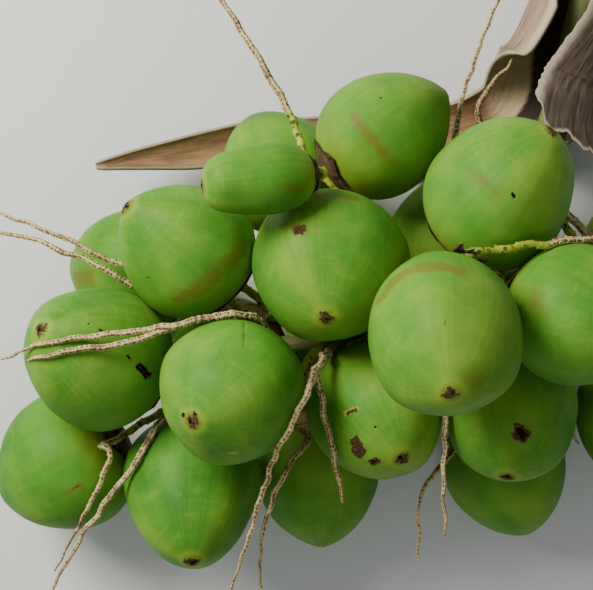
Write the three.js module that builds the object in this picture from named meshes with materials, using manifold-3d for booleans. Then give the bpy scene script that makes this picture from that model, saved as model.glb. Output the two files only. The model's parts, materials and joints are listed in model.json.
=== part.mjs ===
// A cut fruit bunch of a green dwarf coconut palm, lying on level ground with its front up.
// Millimetres, +Z up. X runs across the bunch, and Y runs towards the cut end of its stalk.
// The main stalk runs through the middle. Each fruit hangs by its stem end on a spikelet, a thin
// side branch whose dry tail runs on past the fruit. A woody spathe starts round the stalk's foot
// and lies along the back of the bunch, and a torn outer bract wraps that foot once more.
import * as THREE from "three";
import Module from "manifold-3d";
import { mergeVertices } from "three/addons/utils/BufferGeometryUtils.js";

const wasm = await Module();
wasm.setup();

// The bunch is laid out as it is seen from an eye straight above it. "Across" and "up" are sizes
// in that view, and they are true at the sight level, where the front fruits lie.
const EYE_HEIGHT = 1750;
const SIGHT_LEVEL = 310;

const FRUIT_CLEARANCE = 2.4;
const SEAT_GAP = 0.4;
const FOOT_GAP = 0.5;
const GROUND_GAP = 1.0;
const UP = new THREE.Vector3(0, 0, 1);
const EYE = new THREE.Vector3(0, 0, EYE_HEIGHT);

// Fruits: their place in the view, the height of their middle (0 is on the ground), where the
// tip points (heading in the ground plane from +X, rise above it, both in degrees), length, girth
// across the middle, how far round their ridges stand, and how far along the stalk their spikelet
// leaves it. Some have a blunt tip, or shoulders broader or slimmer than the others'.
// The first eight lie at the back, on the ground.
const FRUITS = [
  { across: -162, up: 25, level: 0, heading: 178, rise: -20, length: 158, girth: 144, spin: 20, foot: 0.915 },
  { across: 22.5, up: -184, level: 0, heading: -88, rise: -10, length: 162, girth: 143, spin: 50, foot: 0.84,
    via: [[-22, -92, 128]] },
  { across: 209, up: -176, level: 0, heading: -70, rise: -15, length: 160, girth: 143, spin: 80, foot: 0.53 },
  { across: -73, up: -64, level: 0, heading: -130, rise: -45, length: 163, girth: 143, spin: 0, foot: 0.98 },
  { across: 47, up: -30, level: 0, heading: -100, rise: -22, length: 162, girth: 142, spin: 35, foot: 0.75 },
  { across: 163, up: 51, level: 0, heading: 70, rise: -22, length: 160, girth: 142, spin: 70, foot: 0.62 },
  { across: 257, up: -43, level: 0, heading: -56, rise: -50, length: 160, girth: 143, spin: 15, foot: 0.5 },
  { across: 352, up: 40, level: 0, heading: 10, rise: -22, length: 158, girth: 142, spin: 95, foot: 0.42 },
  { across: 343, up: -125, level: 104, heading: -80, rise: -15, length: 165, girth: 146, spin: 40, foot: 0.463 },
  { across: -20, up: 126, level: 88, heading: 112, rise: -22, length: 150, girth: 137, spin: 60, foot: 0.77 },
  { across: -235, up: -171, level: 96, heading: -153, rise: -8, length: 158, girth: 160, spin: 50, foot: 0.96,
    shoulder: 0.2 },
  { across: -104, up: -200, level: 158, heading: -86, rise: 46, length: 180, girth: 149, spin: 42, foot: 0.94,
    blunt: 0.26, shoulder: 0.28 },
  { across: 90, up: 164, level: 166, heading: 33, rise: -6, length: 158, girth: 135, spin: 77, foot: 0.66 },
  { across: 80, up: -117, level: 184, heading: -62, rise: 53, length: 162, girth: 146, spin: 47, foot: 0.72,
    blunt: 0.14, shoulder: 0.08, via: [[50, -52, 156]] },
  { across: -203, up: -59, level: 188, heading: 149, rise: 49, length: 166, girth: 155, spin: 18, foot: 0.99,
    blunt: 0.2, shoulder: 0.2 },
  { across: -116, up: 51, level: 196, heading: 145, rise: 30, length: 154, girth: 143, spin: 0, foot: 0.87,
    shoulder: 0.24 },
  { across: 216, up: -115, level: 208, heading: -99, rise: 30, length: 156, girth: 143, spin: 99, foot: 0.563,
    blunt: 0.24, shoulder: 0.08 },
  { across: 207, up: 105, level: 250, heading: 52, rise: 32, length: 168, girth: 151, spin: -22, foot: 0.575,
    blunt: 0.16, shoulder: 0.2 },
  { across: 284.5, up: -25, level: 278, heading: -22, rise: 42, length: 160, girth: 145, spin: 5, foot: 0.47 },
  { across: 32.5, up: 25, level: 252, heading: -95, rise: 51, length: 156, girth: 166, spin: 8, foot: 0.69 },
  { across: -65.5, up: -97, level: 268, heading: -145, rise: 56, length: 156, girth: 151, spin: 75, foot: 0.9,
    shoulder: 0 },
  { across: -36.5, up: 114, level: 304, heading: 187, rise: 12, length: 117, girth: 72, spin: 28, foot: 0.8,
    blunt: 0.62, via: [[28, 30, 158], [-14, 96, 176], [-8, 108, 236], [18, 116, 262]] },
  { across: 149, up: -41, level: 350, heading: -92, rise: 57, length: 184, girth: 151, spin: 103, foot: 0.595,
    blunt: 0.06, shoulder: 0.05 },
];

// Shape of a fruit: broad at the stem end, tapering to a blunt nipple, with three soft ridges.
const FRUIT_SIDES = 15;
const FRUIT_RINGS = 8;
const FACET_ALLOWANCE = 1.012; // corners stand out, so that the facets hold the round fruit's bulk
const STEM_BREADTH = 0.14;
const BREADTH_NORM = 1.01;
const NIPPLE = 5;
const NIPPLE_SPREAD = 0.36;
const RIDGE_MIDDLE = 0.02;
const RIDGE_SHOULDER = 0.042;

// Cap: the dry flower leaves that hold the fruit's stem end.
const CAP_THICKNESS = 6;
const CAP_EDGE = 2.5;
const CAP_REACH = THREE.MathUtils.degToRad(30);
const CAP_ROOM = THREE.MathUtils.degToRad(40);

// Fruits that show from the front keep their place in the view and only move along the line of
// sight to be clear of the others. Those at the back move any way.
const LOOSE_IN_FRONT = 0.05;
const SETTLE_PASSES = 300;
const LOOSE_FRUITS = new Set([3, 4, 5, 6, 7]);

// Main stalk: places and radii from the cut end to the tip among the fruits.
const STALK = [
  { at: [352, 415, 62], radius: 21 },
  { at: [331, 320, 80], radius: 19 },
  { at: [296, 205, 109], radius: 18 },
  { at: [245, 90, 142], radius: 17 },
  { at: [160, 2, 167], radius: 14.5 },
  { at: [62, -34, 174], radius: 11.5 },
  { at: [-35, -58, 171], radius: 9 },
  { at: [-98, -52, 167], radius: 6 },
];
const STALK_SIDES = 16;
const STALK_STEPS = 30;

// Spikelets: thick where they leave the stalk, thin and dry at the tip.
const TWIG_SIDES = 5;
const TWIG_STEP = 24;
const TWIG_FOOT_RADIUS = 5.2;
const TWIG_TAIL_RADIUS = 2.9;
const TWIG_TIP_RADIUS = 1.3;
const TWIG_SIDE_ROOM = 1.6;
const TWIG_CROSS_ROOM = 3.2;
const TWIG_PASSES = 60;
const FOOT_RISE = 14;
const FREE_TAIL = 150;
const SHOULDER_ANGLE = THREE.MathUtils.degToRad(62);

// Tails by the fruit that each starts at. Most show from the front, and those of fruits 12, 14,
// 18 and 19 end behind their fruit. A point is [across, up, level]. A fork leaves its tail at the
// tail's point of that number.
const TAILS = {
  0: { points: [[-165, 23, 168], [-213, 48, 169], [-268, 73, 157], [-322, 93, 143]] },
  1: { points: [[0, -145, 208], [-20, -192, 192], [-38, -234, 170], [-46, -266, 155],
    [-32, -309, 139]] },
  2: { points: [[114, -176, 172], [118, -216, 161], [123, -265, 145]] },
  9: { points: [[25, 160, 84], [60, 190, 68]] },
  10: { points: [[-164, -135, 176], [-182, -165, 188], [-202, -196, 181], [-222, -240, 153],
    [-241, -276, 126]] },
  11: { points: [[-132, -121, 196], [-150, -151, 209], [-174, -189, 202], [-214, -234, 168],
    [-238, -274, 142], [-251, -312, 125]] },
  12: { points: [[52, 140, 92], [84, 158, 84], [112, 174, 80]] },
  13: { points: [[27, -52, 226], [20, -76, 262], [4, -94, 310], [-16, -135, 324],
    [-29, -181, 270], [-42, -229, 231], [-60, -279, 204], [-75, -320, 188]],
    fork: { from: 1, points: [[23, -108, 268], [33, -136, 261], [37, -164, 248],
      [50, -198, 223], [46, -206, 217]] } },
  14: { points: [[-172, -62, 104], [-196, -54, 94]] },
  15: { points: [[-172, 21, 196], [-226, 46, 188], [-272, 59, 173], [-330, 70, 154]] },
  16: { points: [[146, -112, 226], [148, -151, 242], [148, -193, 226], [148, -240, 209]] },
  17: { points: [[152, 150, 128], [164, 208, 134], [183, 251, 131], [213, 322, 122]] },
  18: { points: [[258, -16, 190], [284, -28, 184], [306, -38, 184]] },
  19: { points: [[30, 22, 160], [6, 6, 152]] },
  20: { points: [[-34, -23, 262], [-77, -18, 279], [-108, -30, 281], [-142, -34, 279],
    [-201, -45, 274], [-251, -48, 252], [-295, -64, 228]],
    fork: { from: 2, points: [[-124, -41, 280], [-174, -49, 275], [-213, -57, 267],
      [-267, -65, 243]] } },
  21: { points: [[22, 130, 262], [3, 164, 250], [-17, 205, 242], [-49, 257, 233],
    [-77, 296, 222], [-104, 349, 204]] },
  22: { points: [[163, 45, 300], [188, 38, 308], [221, 50, 309], [254, 44, 302],
    [297, 43, 293], [338, 22, 279]] },
};

// Bare spikelets, which lost their fruit: how far along the stalk they leave it, then their way.
const BARE = [
  { foot: 0.37, points: [[176, 148, 104], [158, 166, 104], [180, 198, 107], [212, 246, 102]] },
  { foot: 0.43, points: [[330, 20, 150], [352, 0, 166], [372, -22, 172], [388, -50, 168]] },
];

// Spathe: the line of its keel, its curve's radius, and how far it wraps each way from the keel.
const SPATHE = [
  { at: [347, 400, 42.5], radius: 44, wrap: 112 },
  { at: [329, 332, 31], radius: 57, wrap: 148 },
  { at: [302, 258, 15], radius: 69, wrap: 140 },
  { at: [250, 207, 9], radius: 56, wrap: 60 },
  { at: [176, 184, 6], radius: 56, wrap: 46 },
  { at: [96, 186, 4.5], radius: 54, wrap: 35 },
  { at: [10, 188, 4], radius: 46, wrap: 33 },
  { at: [-62, 182, 12], radius: 35, wrap: 43 },
  { at: [-128, 169, 36], radius: 26, wrap: 46 },
  { at: [-188, 159, 58], radius: 14, wrap: 46 },
  { at: [-233, 150, 76], radius: 3.5, wrap: 46 },
];
const SPATHE_THICKNESS = 3.2;
const SPATHE_STEPS = 22;
const SPATHE_ROUND = 8;

// Outer bract: the line of its keel, its curve's radius, and the turns that it wraps between, 0
// being below the stalk, 90 on the far side and 180 above. Its torn end runs further down on the
// far side.
const BRACT = [
  { at: [347, 400, 38.5], radius: 49, low: -30, high: 176 },
  { at: [329, 332, 23.5], radius: 66, low: -22, high: 186 },
  { at: [302, 258, 8], radius: 81, low: 12, high: 200 },
  { at: [293, 186, 8], radius: 80, low: 26, high: 206 },
  { at: [298, 112, 10], radius: 82, low: 30, high: 206 },
];
const BRACT_ENDS = { near: 0.7, far: 1 };
const BRACT_THICKNESS = 2.6;
const BRACT_STEPS = 12;
const BRACT_ROUND = 14;
const SHEET_ROOM = 8;

const RIND = new THREE.MeshStandardMaterial({ name: "rind", color: 0x6f9a2c, roughness: 0.42 });
const STALK_GREEN = new THREE.MeshStandardMaterial({ name: "stalk", color: 0x9aa046, roughness: 0.7 });
const DRY_TWIG = new THREE.MeshStandardMaterial({ name: "spikelet", color: 0xa98a5e, roughness: 0.85 });
const DRY_SPATHE = new THREE.MeshStandardMaterial({ name: "spathe", color: 0x8f6a48, roughness: 0.8 });

const vector = (list) => new THREE.Vector3(...list);

// A place in the eye's view, at a given height.
function sighted(across, up, level) {
  const spread = (EYE_HEIGHT - level) / (EYE_HEIGHT - SIGHT_LEVEL);
  return new THREE.Vector3(across * spread, up * spread, level);
}

function solid(geometry) {
  const bare = geometry.index ? geometry.toNonIndexed() : geometry.clone();
  bare.deleteAttribute("normal");
  bare.deleteAttribute("uv");
  const merged = mergeVertices(bare, 1e-3);
  return new wasm.Manifold(new wasm.Mesh({
    numProp: 3,
    vertProperties: merged.attributes.position.array,
    triVerts: new Uint32Array(merged.index.array),
  }));
}

function geometryOf(manifold) {
  const mesh = manifold.getMesh();
  const places = new Float32Array(mesh.numVert * 3);
  for (let i = 0; i < mesh.numVert; i++) {
    places.set(mesh.vertProperties.subarray(i * mesh.numProp, i * mesh.numProp + 3), i * 3);
  }
  const geometry = new THREE.BufferGeometry();
  geometry.setAttribute("position", new THREE.BufferAttribute(places, 3));
  geometry.setIndex(new THREE.BufferAttribute(mesh.triVerts, 1));
  geometry.computeVertexNormals();
  return geometry;
}

const joined = (geometries) =>
  geometryOf(geometries.map(solid).reduce((whole, piece) => whole.add(piece)));

// Moves every corner of a geometry to where the function says.
function reshaped(geometry, place) {
  const corners = geometry.attributes.position;
  for (let i = 0; i < corners.count; i++) {
    const moved = place(new THREE.Vector3().fromBufferAttribute(corners, i));
    corners.setXYZ(i, moved.x, moved.y, moved.z);
  }
  return geometry;
}

// A fruit with its own directions: along its axis to the tip, and two across it.
function oriented(size, number) {
  const heading = THREE.MathUtils.degToRad(size.heading);
  const rise = THREE.MathUtils.degToRad(size.rise);
  const axis = new THREE.Vector3(
    Math.cos(heading) * Math.cos(rise), Math.sin(heading) * Math.cos(rise), Math.sin(rise));
  const levelSide = new THREE.Vector3().crossVectors(UP, axis).normalize();
  const otherSide = new THREE.Vector3().crossVectors(axis, levelSide);
  const loose = LOOSE_FRUITS.has(number) ? 1 : LOOSE_IN_FRONT;
  const fruit = { ...size, axis, levelSide, otherSide, loose, centre: new THREE.Vector3() };
  const corners = fruitGeometry(fruit).attributes.position;
  fruit.corners = Array.from({ length: corners.count }, (_, i) =>
    new THREE.Vector3().fromBufferAttribute(corners, i));
  fruit.sag = -Math.min(...fruit.corners.map((corner) => corner.z));
  fruit.centre.copy(sighted(size.across, size.up, size.level || fruit.sag));
  return fruit;
}

// How far out from the axis and along it the rind is, at a polar angle from the stem end.
function outline(fruit, polar) {
  const shoulder = fruit.shoulder ?? STEM_BREADTH;
  const half = (fruit.length - NIPPLE) / 2;
  const peak = Math.exp(-(((Math.PI - polar) / NIPPLE_SPREAD) ** 2));
  const tipward = Math.cos(polar) * (polar > Math.PI / 2 ? 1 - (fruit.blunt || 0) : 1);
  const swell = Math.sin(polar) / Math.hypot(Math.sin(polar), tipward);
  return {
    out: (fruit.girth / 2 / BREADTH_NORM) * swell * (1 + shoulder * Math.cos(polar)),
    along: -half * Math.cos(polar) + NIPPLE * (peak - 0.5),
  };
}

function ridged(fruit, polar, turn) {
  const tipward = Math.sin(polar) ** 2 * Math.max(0, -Math.cos(polar)) * 2;
  const height = RIDGE_MIDDLE + RIDGE_SHOULDER * tipward;
  const from = turn - THREE.MathUtils.degToRad(fruit.spin);
  return 1 + height * (0.75 * Math.cos(3 * from) + 0.25 * Math.cos(6 * from));
}

// A point on the rind, or that far above it.
function onFruit(fruit, polar, turn, above = 0, allowance = 1) {
  const { out, along } = outline(fruit, polar);
  const reach = out * ridged(fruit, polar, turn) * allowance;
  const point = fruit.axis.clone().multiplyScalar(along)
    .addScaledVector(fruit.levelSide, reach * Math.cos(turn))
    .addScaledVector(fruit.otherSide, reach * Math.sin(turn));
  const outward = fruit.axis.clone().multiplyScalar((-Math.cos(polar) * fruit.girth) / fruit.length)
    .addScaledVector(fruit.levelSide, Math.sin(polar) * Math.cos(turn))
    .addScaledVector(fruit.otherSide, Math.sin(polar) * Math.sin(turn)).normalize();
  return point.addScaledVector(outward, above).add(fruit.centre);
}

// How far outside the rind a point is, measured from the fruit's middle. It also tells the polar
// angle.
function heightAbove(fruit, point) {
  const from = point.clone().sub(fruit.centre);
  const far = Math.max(from.length(), 1e-9);
  const turn = Math.atan2(from.dot(fruit.otherSide), from.dot(fruit.levelSide));
  const wanted = Math.acos(THREE.MathUtils.clamp(-from.dot(fruit.axis) / far, -1, 1));
  let polar = wanted;
  let reach = 0;
  for (let i = 0; i < 4; i++) {
    const at = outline(fruit, polar);
    reach = Math.hypot(at.out * ridged(fruit, polar, turn), at.along);
    polar += wanted - Math.acos(THREE.MathUtils.clamp(-at.along / reach, -1, 1));
  }
  return { height: far - reach, polar };
}

function fruitGeometry(fruit) {
  const ball = new THREE.SphereGeometry(1, FRUIT_SIDES, FRUIT_RINGS);
  const start = THREE.MathUtils.degToRad(fruit.spin);
  return reshaped(ball, (p) => {
    const polar = Math.acos(THREE.MathUtils.clamp(p.y, -1, 1));
    return onFruit(fruit, polar, Math.atan2(p.z, p.x) + start, 0, FACET_ALLOWANCE);
  });
}

const stalkLine = new THREE.CatmullRomCurve3(STALK.map((stage) => vector(stage.at)), false, "centripetal");
const stalkFrames = stalkLine.computeFrenetFrames(STALK_STEPS);

// A value that is given at even stages, read at a share of the way.
function staged(values, share) {
  const place = THREE.MathUtils.clamp(share, 0, 1) * (values.length - 1);
  const before = Math.min(Math.floor(place), values.length - 2);
  return THREE.MathUtils.lerp(values[before], values[before + 1], place - before);
}

// The stalk's stages are not even along its length, so its radius is read between their shares.
const stalkShares = STALK.map((stage, i) => {
  const whole = STALK.reduce((sum, next, k) =>
    (k ? sum + vector(next.at).distanceTo(vector(STALK[k - 1].at)) : 0), 0);
  return STALK.slice(0, i + 1).reduce((sum, next, k) =>
    (k ? sum + vector(next.at).distanceTo(vector(STALK[k - 1].at)) : 0), 0) / whole;
});

function stalkRadius(share) {
  let next = 1;
  while (next < STALK.length - 1 && stalkShares[next] < share) next += 1;
  const part = (share - stalkShares[next - 1]) / (stalkShares[next] - stalkShares[next - 1]);
  return THREE.MathUtils.lerp(STALK[next - 1].radius, STALK[next].radius, THREE.MathUtils.clamp(part, 0, 1));
}

// A closed tapering limb: a capped cylinder whose rings are laid along a curve.
function limb(curve, frames, steps, sides, radiusAt) {
  const rod = new THREE.CylinderGeometry(1, 1, 1, sides, steps);
  return reshaped(rod, (p) => {
    const share = 0.5 - p.y;
    const ring = Math.round(share * steps);
    const radius = radiusAt(share);
    return curve.getPointAt(Math.min(share, 1))
      .addScaledVector(frames.normals[ring], p.x * radius)
      .addScaledVector(frames.binormals[ring], p.z * radius);
  });
}

const stalkSamples = Array.from({ length: 41 }, (_, i) => ({
  at: stalkLine.getPointAt(i / 40),
  radius: stalkRadius(i / 40),
}));

// How a fruit gives way to a push: freely, or mostly along the line of sight.
function giveWay(fruit, push) {
  const sight = EYE.clone().sub(fruit.centre).normalize();
  return push.clone().multiplyScalar(fruit.loose)
    .addScaledVector(sight, (1 - fruit.loose) * sight.dot(push));
}

// Moves two fruits apart where they are closest. It tells whether they had to move.
function parted(fruit, other) {
  let gap = FRUIT_CLEARANCE;
  let push = null;
  for (const [one, two, sign] of [[fruit, other, 1], [other, fruit, -1]]) {
    for (const corner of one.corners) {
      const point = corner.clone().add(one.centre);
      if (point.distanceTo(two.centre) > two.length * 0.6) continue;
      const { height } = heightAbove(two, point);
      if (height < gap) {
        gap = height;
        push = point.sub(two.centre).normalize().multiplyScalar(sign);
      }
    }
  }
  if (!push) return false;
  const mine = giveWay(fruit, push);
  const theirs = giveWay(other, push);
  const share = (FRUIT_CLEARANCE - gap) / (mine.dot(push) + theirs.dot(push));
  fruit.centre.addScaledVector(mine, share);
  other.centre.addScaledVector(theirs, -share);
  return true;
}

// Moves a fruit out of the stalk.
function clearOfStalk(fruit) {
  for (const post of stalkSamples) {
    const short = post.radius + FRUIT_CLEARANCE - heightAbove(fruit, post.at).height;
    if (short > 0) {
      const push = fruit.centre.clone().sub(post.at).normalize();
      const mine = giveWay(fruit, push);
      fruit.centre.addScaledVector(mine, short / mine.dot(push));
    }
  }
}

// The fruits start at their places and levels, and give way to each other until all are clear.
function settled(sizes) {
  const all = sizes.map(oriented);
  let busy = true;
  for (let pass = 0; pass < SETTLE_PASSES && busy; pass++) {
    busy = false;
    all.forEach((fruit, i) => {
      for (const other of all.slice(i + 1)) {
        const near = fruit.centre.distanceTo(other.centre) < (fruit.length + other.length) / 2;
        if (near && parted(fruit, other)) busy = true;
      }
      clearOfStalk(fruit);
      fruit.centre.z = Math.max(fruit.centre.z, fruit.sag);
    });
  }
  return all;
}

const fruits = settled(FRUITS);

// A closed sheet: a flat box whose grid is laid along and round, with a thickness.
function sheet(steps, round, place) {
  const flat = new THREE.BoxGeometry(1, 1, 1, steps, round, 1);
  return reshaped(flat, (p) => place(p.x + 0.5, p.y * 2, p.z + 0.5));
}

// A point of a sheet that is curved round a keel line: that far along, that far round from the
// keel, and that far out from the curve's middle.
function roundKeel(keel, share, radius, turn, reach) {
  const along = keel.getTangent(share);
  const across = new THREE.Vector3().crossVectors(UP, along).normalize();
  const upward = new THREE.Vector3().crossVectors(along, across);
  return keel.getPoint(share).addScaledVector(upward, radius - reach * Math.cos(turn))
    .addScaledVector(across, reach * Math.sin(turn));
}

const keelOf = (stages) =>
  new THREE.CatmullRomCurve3(stages.map((stage) => vector(stage.at)), false, "centripetal");

const spatheKeel = keelOf(SPATHE);
const bractKeel = keelOf(BRACT);

function onSpathe(share, side, depth) {
  const radius = staged(SPATHE.map((stage) => stage.radius), share);
  const wrap = THREE.MathUtils.degToRad(staged(SPATHE.map((stage) => stage.wrap), share));
  const reach = radius + (1 - depth) * Math.min(SPATHE_THICKNESS, radius * 0.6);
  return roundKeel(spatheKeel, share, radius, side * wrap, reach);
}

function onBract(share, side, depth) {
  const farSide = Math.max(0, Math.cos(side * Math.PI / 2));
  const place = share * THREE.MathUtils.lerp(BRACT_ENDS.near, BRACT_ENDS.far, farSide);
  const low = staged(BRACT.map((stage) => stage.low), place);
  const high = staged(BRACT.map((stage) => stage.high), place);
  const turn = THREE.MathUtils.degToRad(THREE.MathUtils.lerp(low, high, (side + 1) / 2));
  const radius = staged(BRACT.map((stage) => stage.radius), place);
  return roundKeel(bractKeel, place, radius, turn, radius + (1 - depth) * BRACT_THICKNESS);
}

// Points at even steps along straight chords.
function evenly(points, step) {
  const lengths = points.slice(1).map((point, i) => point.distanceTo(points[i]));
  const whole = lengths.reduce((sum, length) => sum + length, 0);
  const count = Math.max(2, Math.round(whole / step));
  return Array.from({ length: count + 1 }, (_, i) => {
    let left = (whole * i) / count;
    let chord = 0;
    while (chord < lengths.length - 1 && left > lengths[chord]) {
      left -= lengths[chord];
      chord += 1;
    }
    return points[chord].clone().lerp(points[chord + 1], Math.min(1, left / lengths[chord]));
  });
}

// Lengths of stalk, sheet and spikelet that later spikelets keep away from.
const taken = lengthsOf(stalkSamples);

function lengthsOf(samples) {
  return samples.slice(1).map((sample, i) => ({
    line: new THREE.Line3(samples[i].at, sample.at),
    radius: Math.max(sample.radius, samples[i].radius),
  }));
}

function keepOff(steps, round, place) {
  for (let k = 0; k <= round; k++) {
    taken.push(...lengthsOf(Array.from({ length: steps + 1 }, (_, i) => (
      { at: place(i / steps, (k / round) * 2 - 1, 0.5), radius: SHEET_ROOM }))));
  }
}

keepOff(SPATHE_STEPS, SPATHE_ROUND, onSpathe);
keepOff(BRACT_STEPS, BRACT_ROUND, onBract);

// Moves a spikelet's points out of the fruits, the stalk, the ground and the earlier spikelets,
// and smooths them. The points whose numbers are held stay where they are.
function cleared(points, radii, held, own) {
  const nearest = new THREE.Vector3();
  for (let pass = 0; pass < TWIG_PASSES; pass++) {
    points.forEach((point, i) => {
      if (held.has(i)) return;
      if (pass < TWIG_PASSES - 8 && i > 0 && i < points.length - 1) {
        point.lerp(points[i - 1].clone().add(points[i + 1]).multiplyScalar(0.5), 0.3);
      }
      for (const fruit of fruits) {
        if (point.distanceTo(fruit.centre) > fruit.length * 0.75) continue;
        const { height, polar } = heightAbove(fruit, point);
        const cap = fruit !== own && polar < CAP_ROOM ? CAP_THICKNESS : 0;
        const short = radii[i] + TWIG_SIDE_ROOM + cap - height;
        if (short > 0) point.addScaledVector(point.clone().sub(fruit.centre).normalize(), short);
      }
      for (const length of taken) {
        if (point.distanceTo(length.line.start) > 60) continue;
        length.line.closestPointToPoint(point, true, nearest);
        const apart = point.clone().sub(nearest);
        const short = radii[i] + length.radius + TWIG_CROSS_ROOM - apart.length();
        if (short > 0) point.addScaledVector(apart.normalize(), short);
      }
      point.z = Math.max(point.z, radii[i] + GROUND_GAP);
    });
  }
  return points;
}

function twigRadius(share, thick = TWIG_FOOT_RADIUS) {
  const slim = Math.min(1, share * 1.6);
  const body = THREE.MathUtils.lerp(thick, TWIG_TAIL_RADIUS, slim);
  return THREE.MathUtils.lerp(body, TWIG_TIP_RADIUS, Math.max(0, share - 0.7) / 0.3);
}

// The points are close together for clearing, and every second one is enough for the solid.
function twigGeometry(points, thick) {
  const kept = points.filter((_, i) => i === 0 || i % 2 === 1 || i === points.length - 1);
  const curve = new THREE.CatmullRomCurve3(kept, false, "centripetal");
  const steps = kept.length - 1;
  const frames = curve.computeFrenetFrames(steps);
  return limb(curve, frames, steps, TWIG_SIDES, (share) => twigRadius(share, thick));
}

// The cap follows the fruit's own surface, corner for corner, so that it seats all over.
function capGeometry(fruit) {
  const ring = Math.PI / FRUIT_RINGS;
  const profile = [
    [0, SEAT_GAP], [ring, SEAT_GAP], [CAP_REACH, SEAT_GAP],
    [CAP_REACH, CAP_EDGE], [ring, CAP_THICKNESS * 0.8], [0, CAP_THICKNESS],
  ].map(([polar, above]) => new THREE.Vector2(polar, above));
  const start = THREE.MathUtils.degToRad(fruit.spin);
  const cap = new THREE.LatheGeometry(profile, FRUIT_SIDES);
  return reshaped(cap, (p) => onFruit(
    fruit, Math.hypot(p.x, p.z), Math.atan2(p.z, p.x) + start, p.y, FACET_ALLOWANCE));
}

// Where a spikelet leaves the stalk, on the side that faces a point.
function footOn(share, towards) {
  const at = stalkLine.getPointAt(share);
  const along = stalkLine.getTangentAt(share);
  const outward = towards.clone().sub(at).projectOnPlane(along).normalize();
  return { root: at.addScaledVector(outward, stalkRadius(share) + FOOT_GAP), outward };
}

// The points from the stalk to the fruit's stem end, over its cap, and round its shoulder.
function stemWay(fruit, towards) {
  const pole = onFruit(fruit, 0, 0, CAP_THICKNESS + TWIG_FOOT_RADIUS * 0.45);
  const { root, outward } = footOn(fruit.foot, fruit.via ? vector(fruit.via[0]) : pole);
  const away = towards.clone().sub(fruit.centre).projectOnPlane(fruit.axis).normalize();
  const turn = Math.atan2(away.dot(fruit.otherSide), away.dot(fruit.levelSide));
  const shoulder = onFruit(fruit, SHOULDER_ANGLE, turn, TWIG_FOOT_RADIUS + TWIG_SIDE_ROOM);
  const out = root.clone().addScaledVector(outward, FOOT_RISE);
  return { root, stem: [out, ...(fruit.via || []).map(vector), pole], shoulder };
}

// A tail that doesn't show from the front runs on along its fruit and a little past it.
function freeTail(fruit) {
  const flank = fruit.centre.clone().sub(stalkLine.getPointAt(fruit.foot)).projectOnPlane(fruit.axis);
  const side = flank.lengthSq() > 1 ? flank.normalize() : fruit.levelSide;
  const middle = fruit.centre.clone().addScaledVector(side, fruit.girth / 2 + 6);
  return [middle, middle.clone().addScaledVector(fruit.axis, FREE_TAIL * 0.4),
    middle.clone().addScaledVector(fruit.axis, FREE_TAIL * 0.75).addScaledVector(side, 12)];
}

function clearedTwig(way, held, own, thick) {
  const radii = way.map((_, i) => twigRadius(i / (way.length - 1), thick));
  const points = cleared(way, radii, held, own);
  return { points, samples: points.map((at, i) => ({ at, radius: radii[i] })) };
}

function fruitSpikelet(fruit, number) {
  const tail = TAILS[number];
  const seen = tail ? tail.points.map((point) => sighted(...point)) : freeTail(fruit);
  const { root, stem, shoulder } = stemWay(fruit, seen[0]);
  const before = evenly(stem, TWIG_STEP / 2);
  const after = evenly([stem.at(-1), shoulder, ...seen], TWIG_STEP / 2).slice(1);
  const way = [root, ...before, ...after];
  const twig = clearedTwig(way, new Set([0, 1, before.length]), fruit);
  const pieces = [twigGeometry(twig.points), capGeometry(fruit)];
  const samples = [twig.samples];
  if (tail && tail.fork) {
    const goal = seen[tail.fork.from];
    const crotch = twig.points.reduce((near, point) =>
      (point.distanceTo(goal) < near.distanceTo(goal) ? point : near));
    const ways = [crotch.clone(), ...tail.fork.points.map((point) => sighted(...point))];
    const fork = clearedTwig(evenly(ways, TWIG_STEP / 2), new Set([0]), fruit, TWIG_TAIL_RADIUS);
    pieces.push(twigGeometry(fork.points, TWIG_TAIL_RADIUS));
    samples.push(fork.samples);
  }
  samples.forEach((list) => taken.push(...lengthsOf(list)));
  return joined(pieces);
}

function bareSpikelet(bare) {
  const seen = bare.points.map((point) => sighted(...point));
  const { root, outward } = footOn(bare.foot, seen[0]);
  const out = root.clone().addScaledVector(outward, FOOT_RISE);
  const twig = clearedTwig([root, ...evenly([out, ...seen], TWIG_STEP / 2)], new Set([0, 1]), null);
  taken.push(...lengthsOf(twig.samples));
  return twigGeometry(twig.points);
}

const bunch = new THREE.Group();

function add(name, geometry, material) {
  const mesh = new THREE.Mesh(geometry, material);
  mesh.name = name;
  bunch.add(mesh);
}

const numbered = (name, i) => name + "_" + String(i + 1).padStart(2, "0");

add("main_stalk", limb(stalkLine, stalkFrames, STALK_STEPS, STALK_SIDES, stalkRadius), STALK_GREEN);
fruits.forEach((fruit, i) => add(numbered("coconut", i), fruitGeometry(fruit), RIND));
fruits.forEach((fruit, i) => add(numbered("spikelet", i), fruitSpikelet(fruit, i), DRY_TWIG));
BARE.forEach((bare, i) => add(numbered("bare_spikelet", i), bareSpikelet(bare), DRY_TWIG));
add("spathe", sheet(SPATHE_STEPS, SPATHE_ROUND, onSpathe), DRY_SPATHE);
add("outer_bract", sheet(BRACT_STEPS, BRACT_ROUND, onBract), DRY_SPATHE);

// The part's origin is on the ground, under the middle of its box.
const box = new THREE.Box3().setFromObject(bunch, true);
const middle = box.getCenter(new THREE.Vector3());
bunch.position.set(-middle.x, -middle.y, -box.min.z);

export default bunch;
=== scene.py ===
"""A cut bunch of green coconuts, dressed for the camera.

The bunch lies on level ground with its front up. Its fruits, their caps, the spikelets that carry
them, the main stalk, the spathe and the outer bract are each made here as a detailed piece that
stands for the solid in the same place. Lengths inside the bunch are millimetres, in the frame that
the solids were laid out in. They become metres on the part's base as each mesh is made.
"""

import json
import logging
import math
from collections.abc import Sequence
from dataclasses import dataclass, field
from enum import Enum
from types import ModuleType

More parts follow.
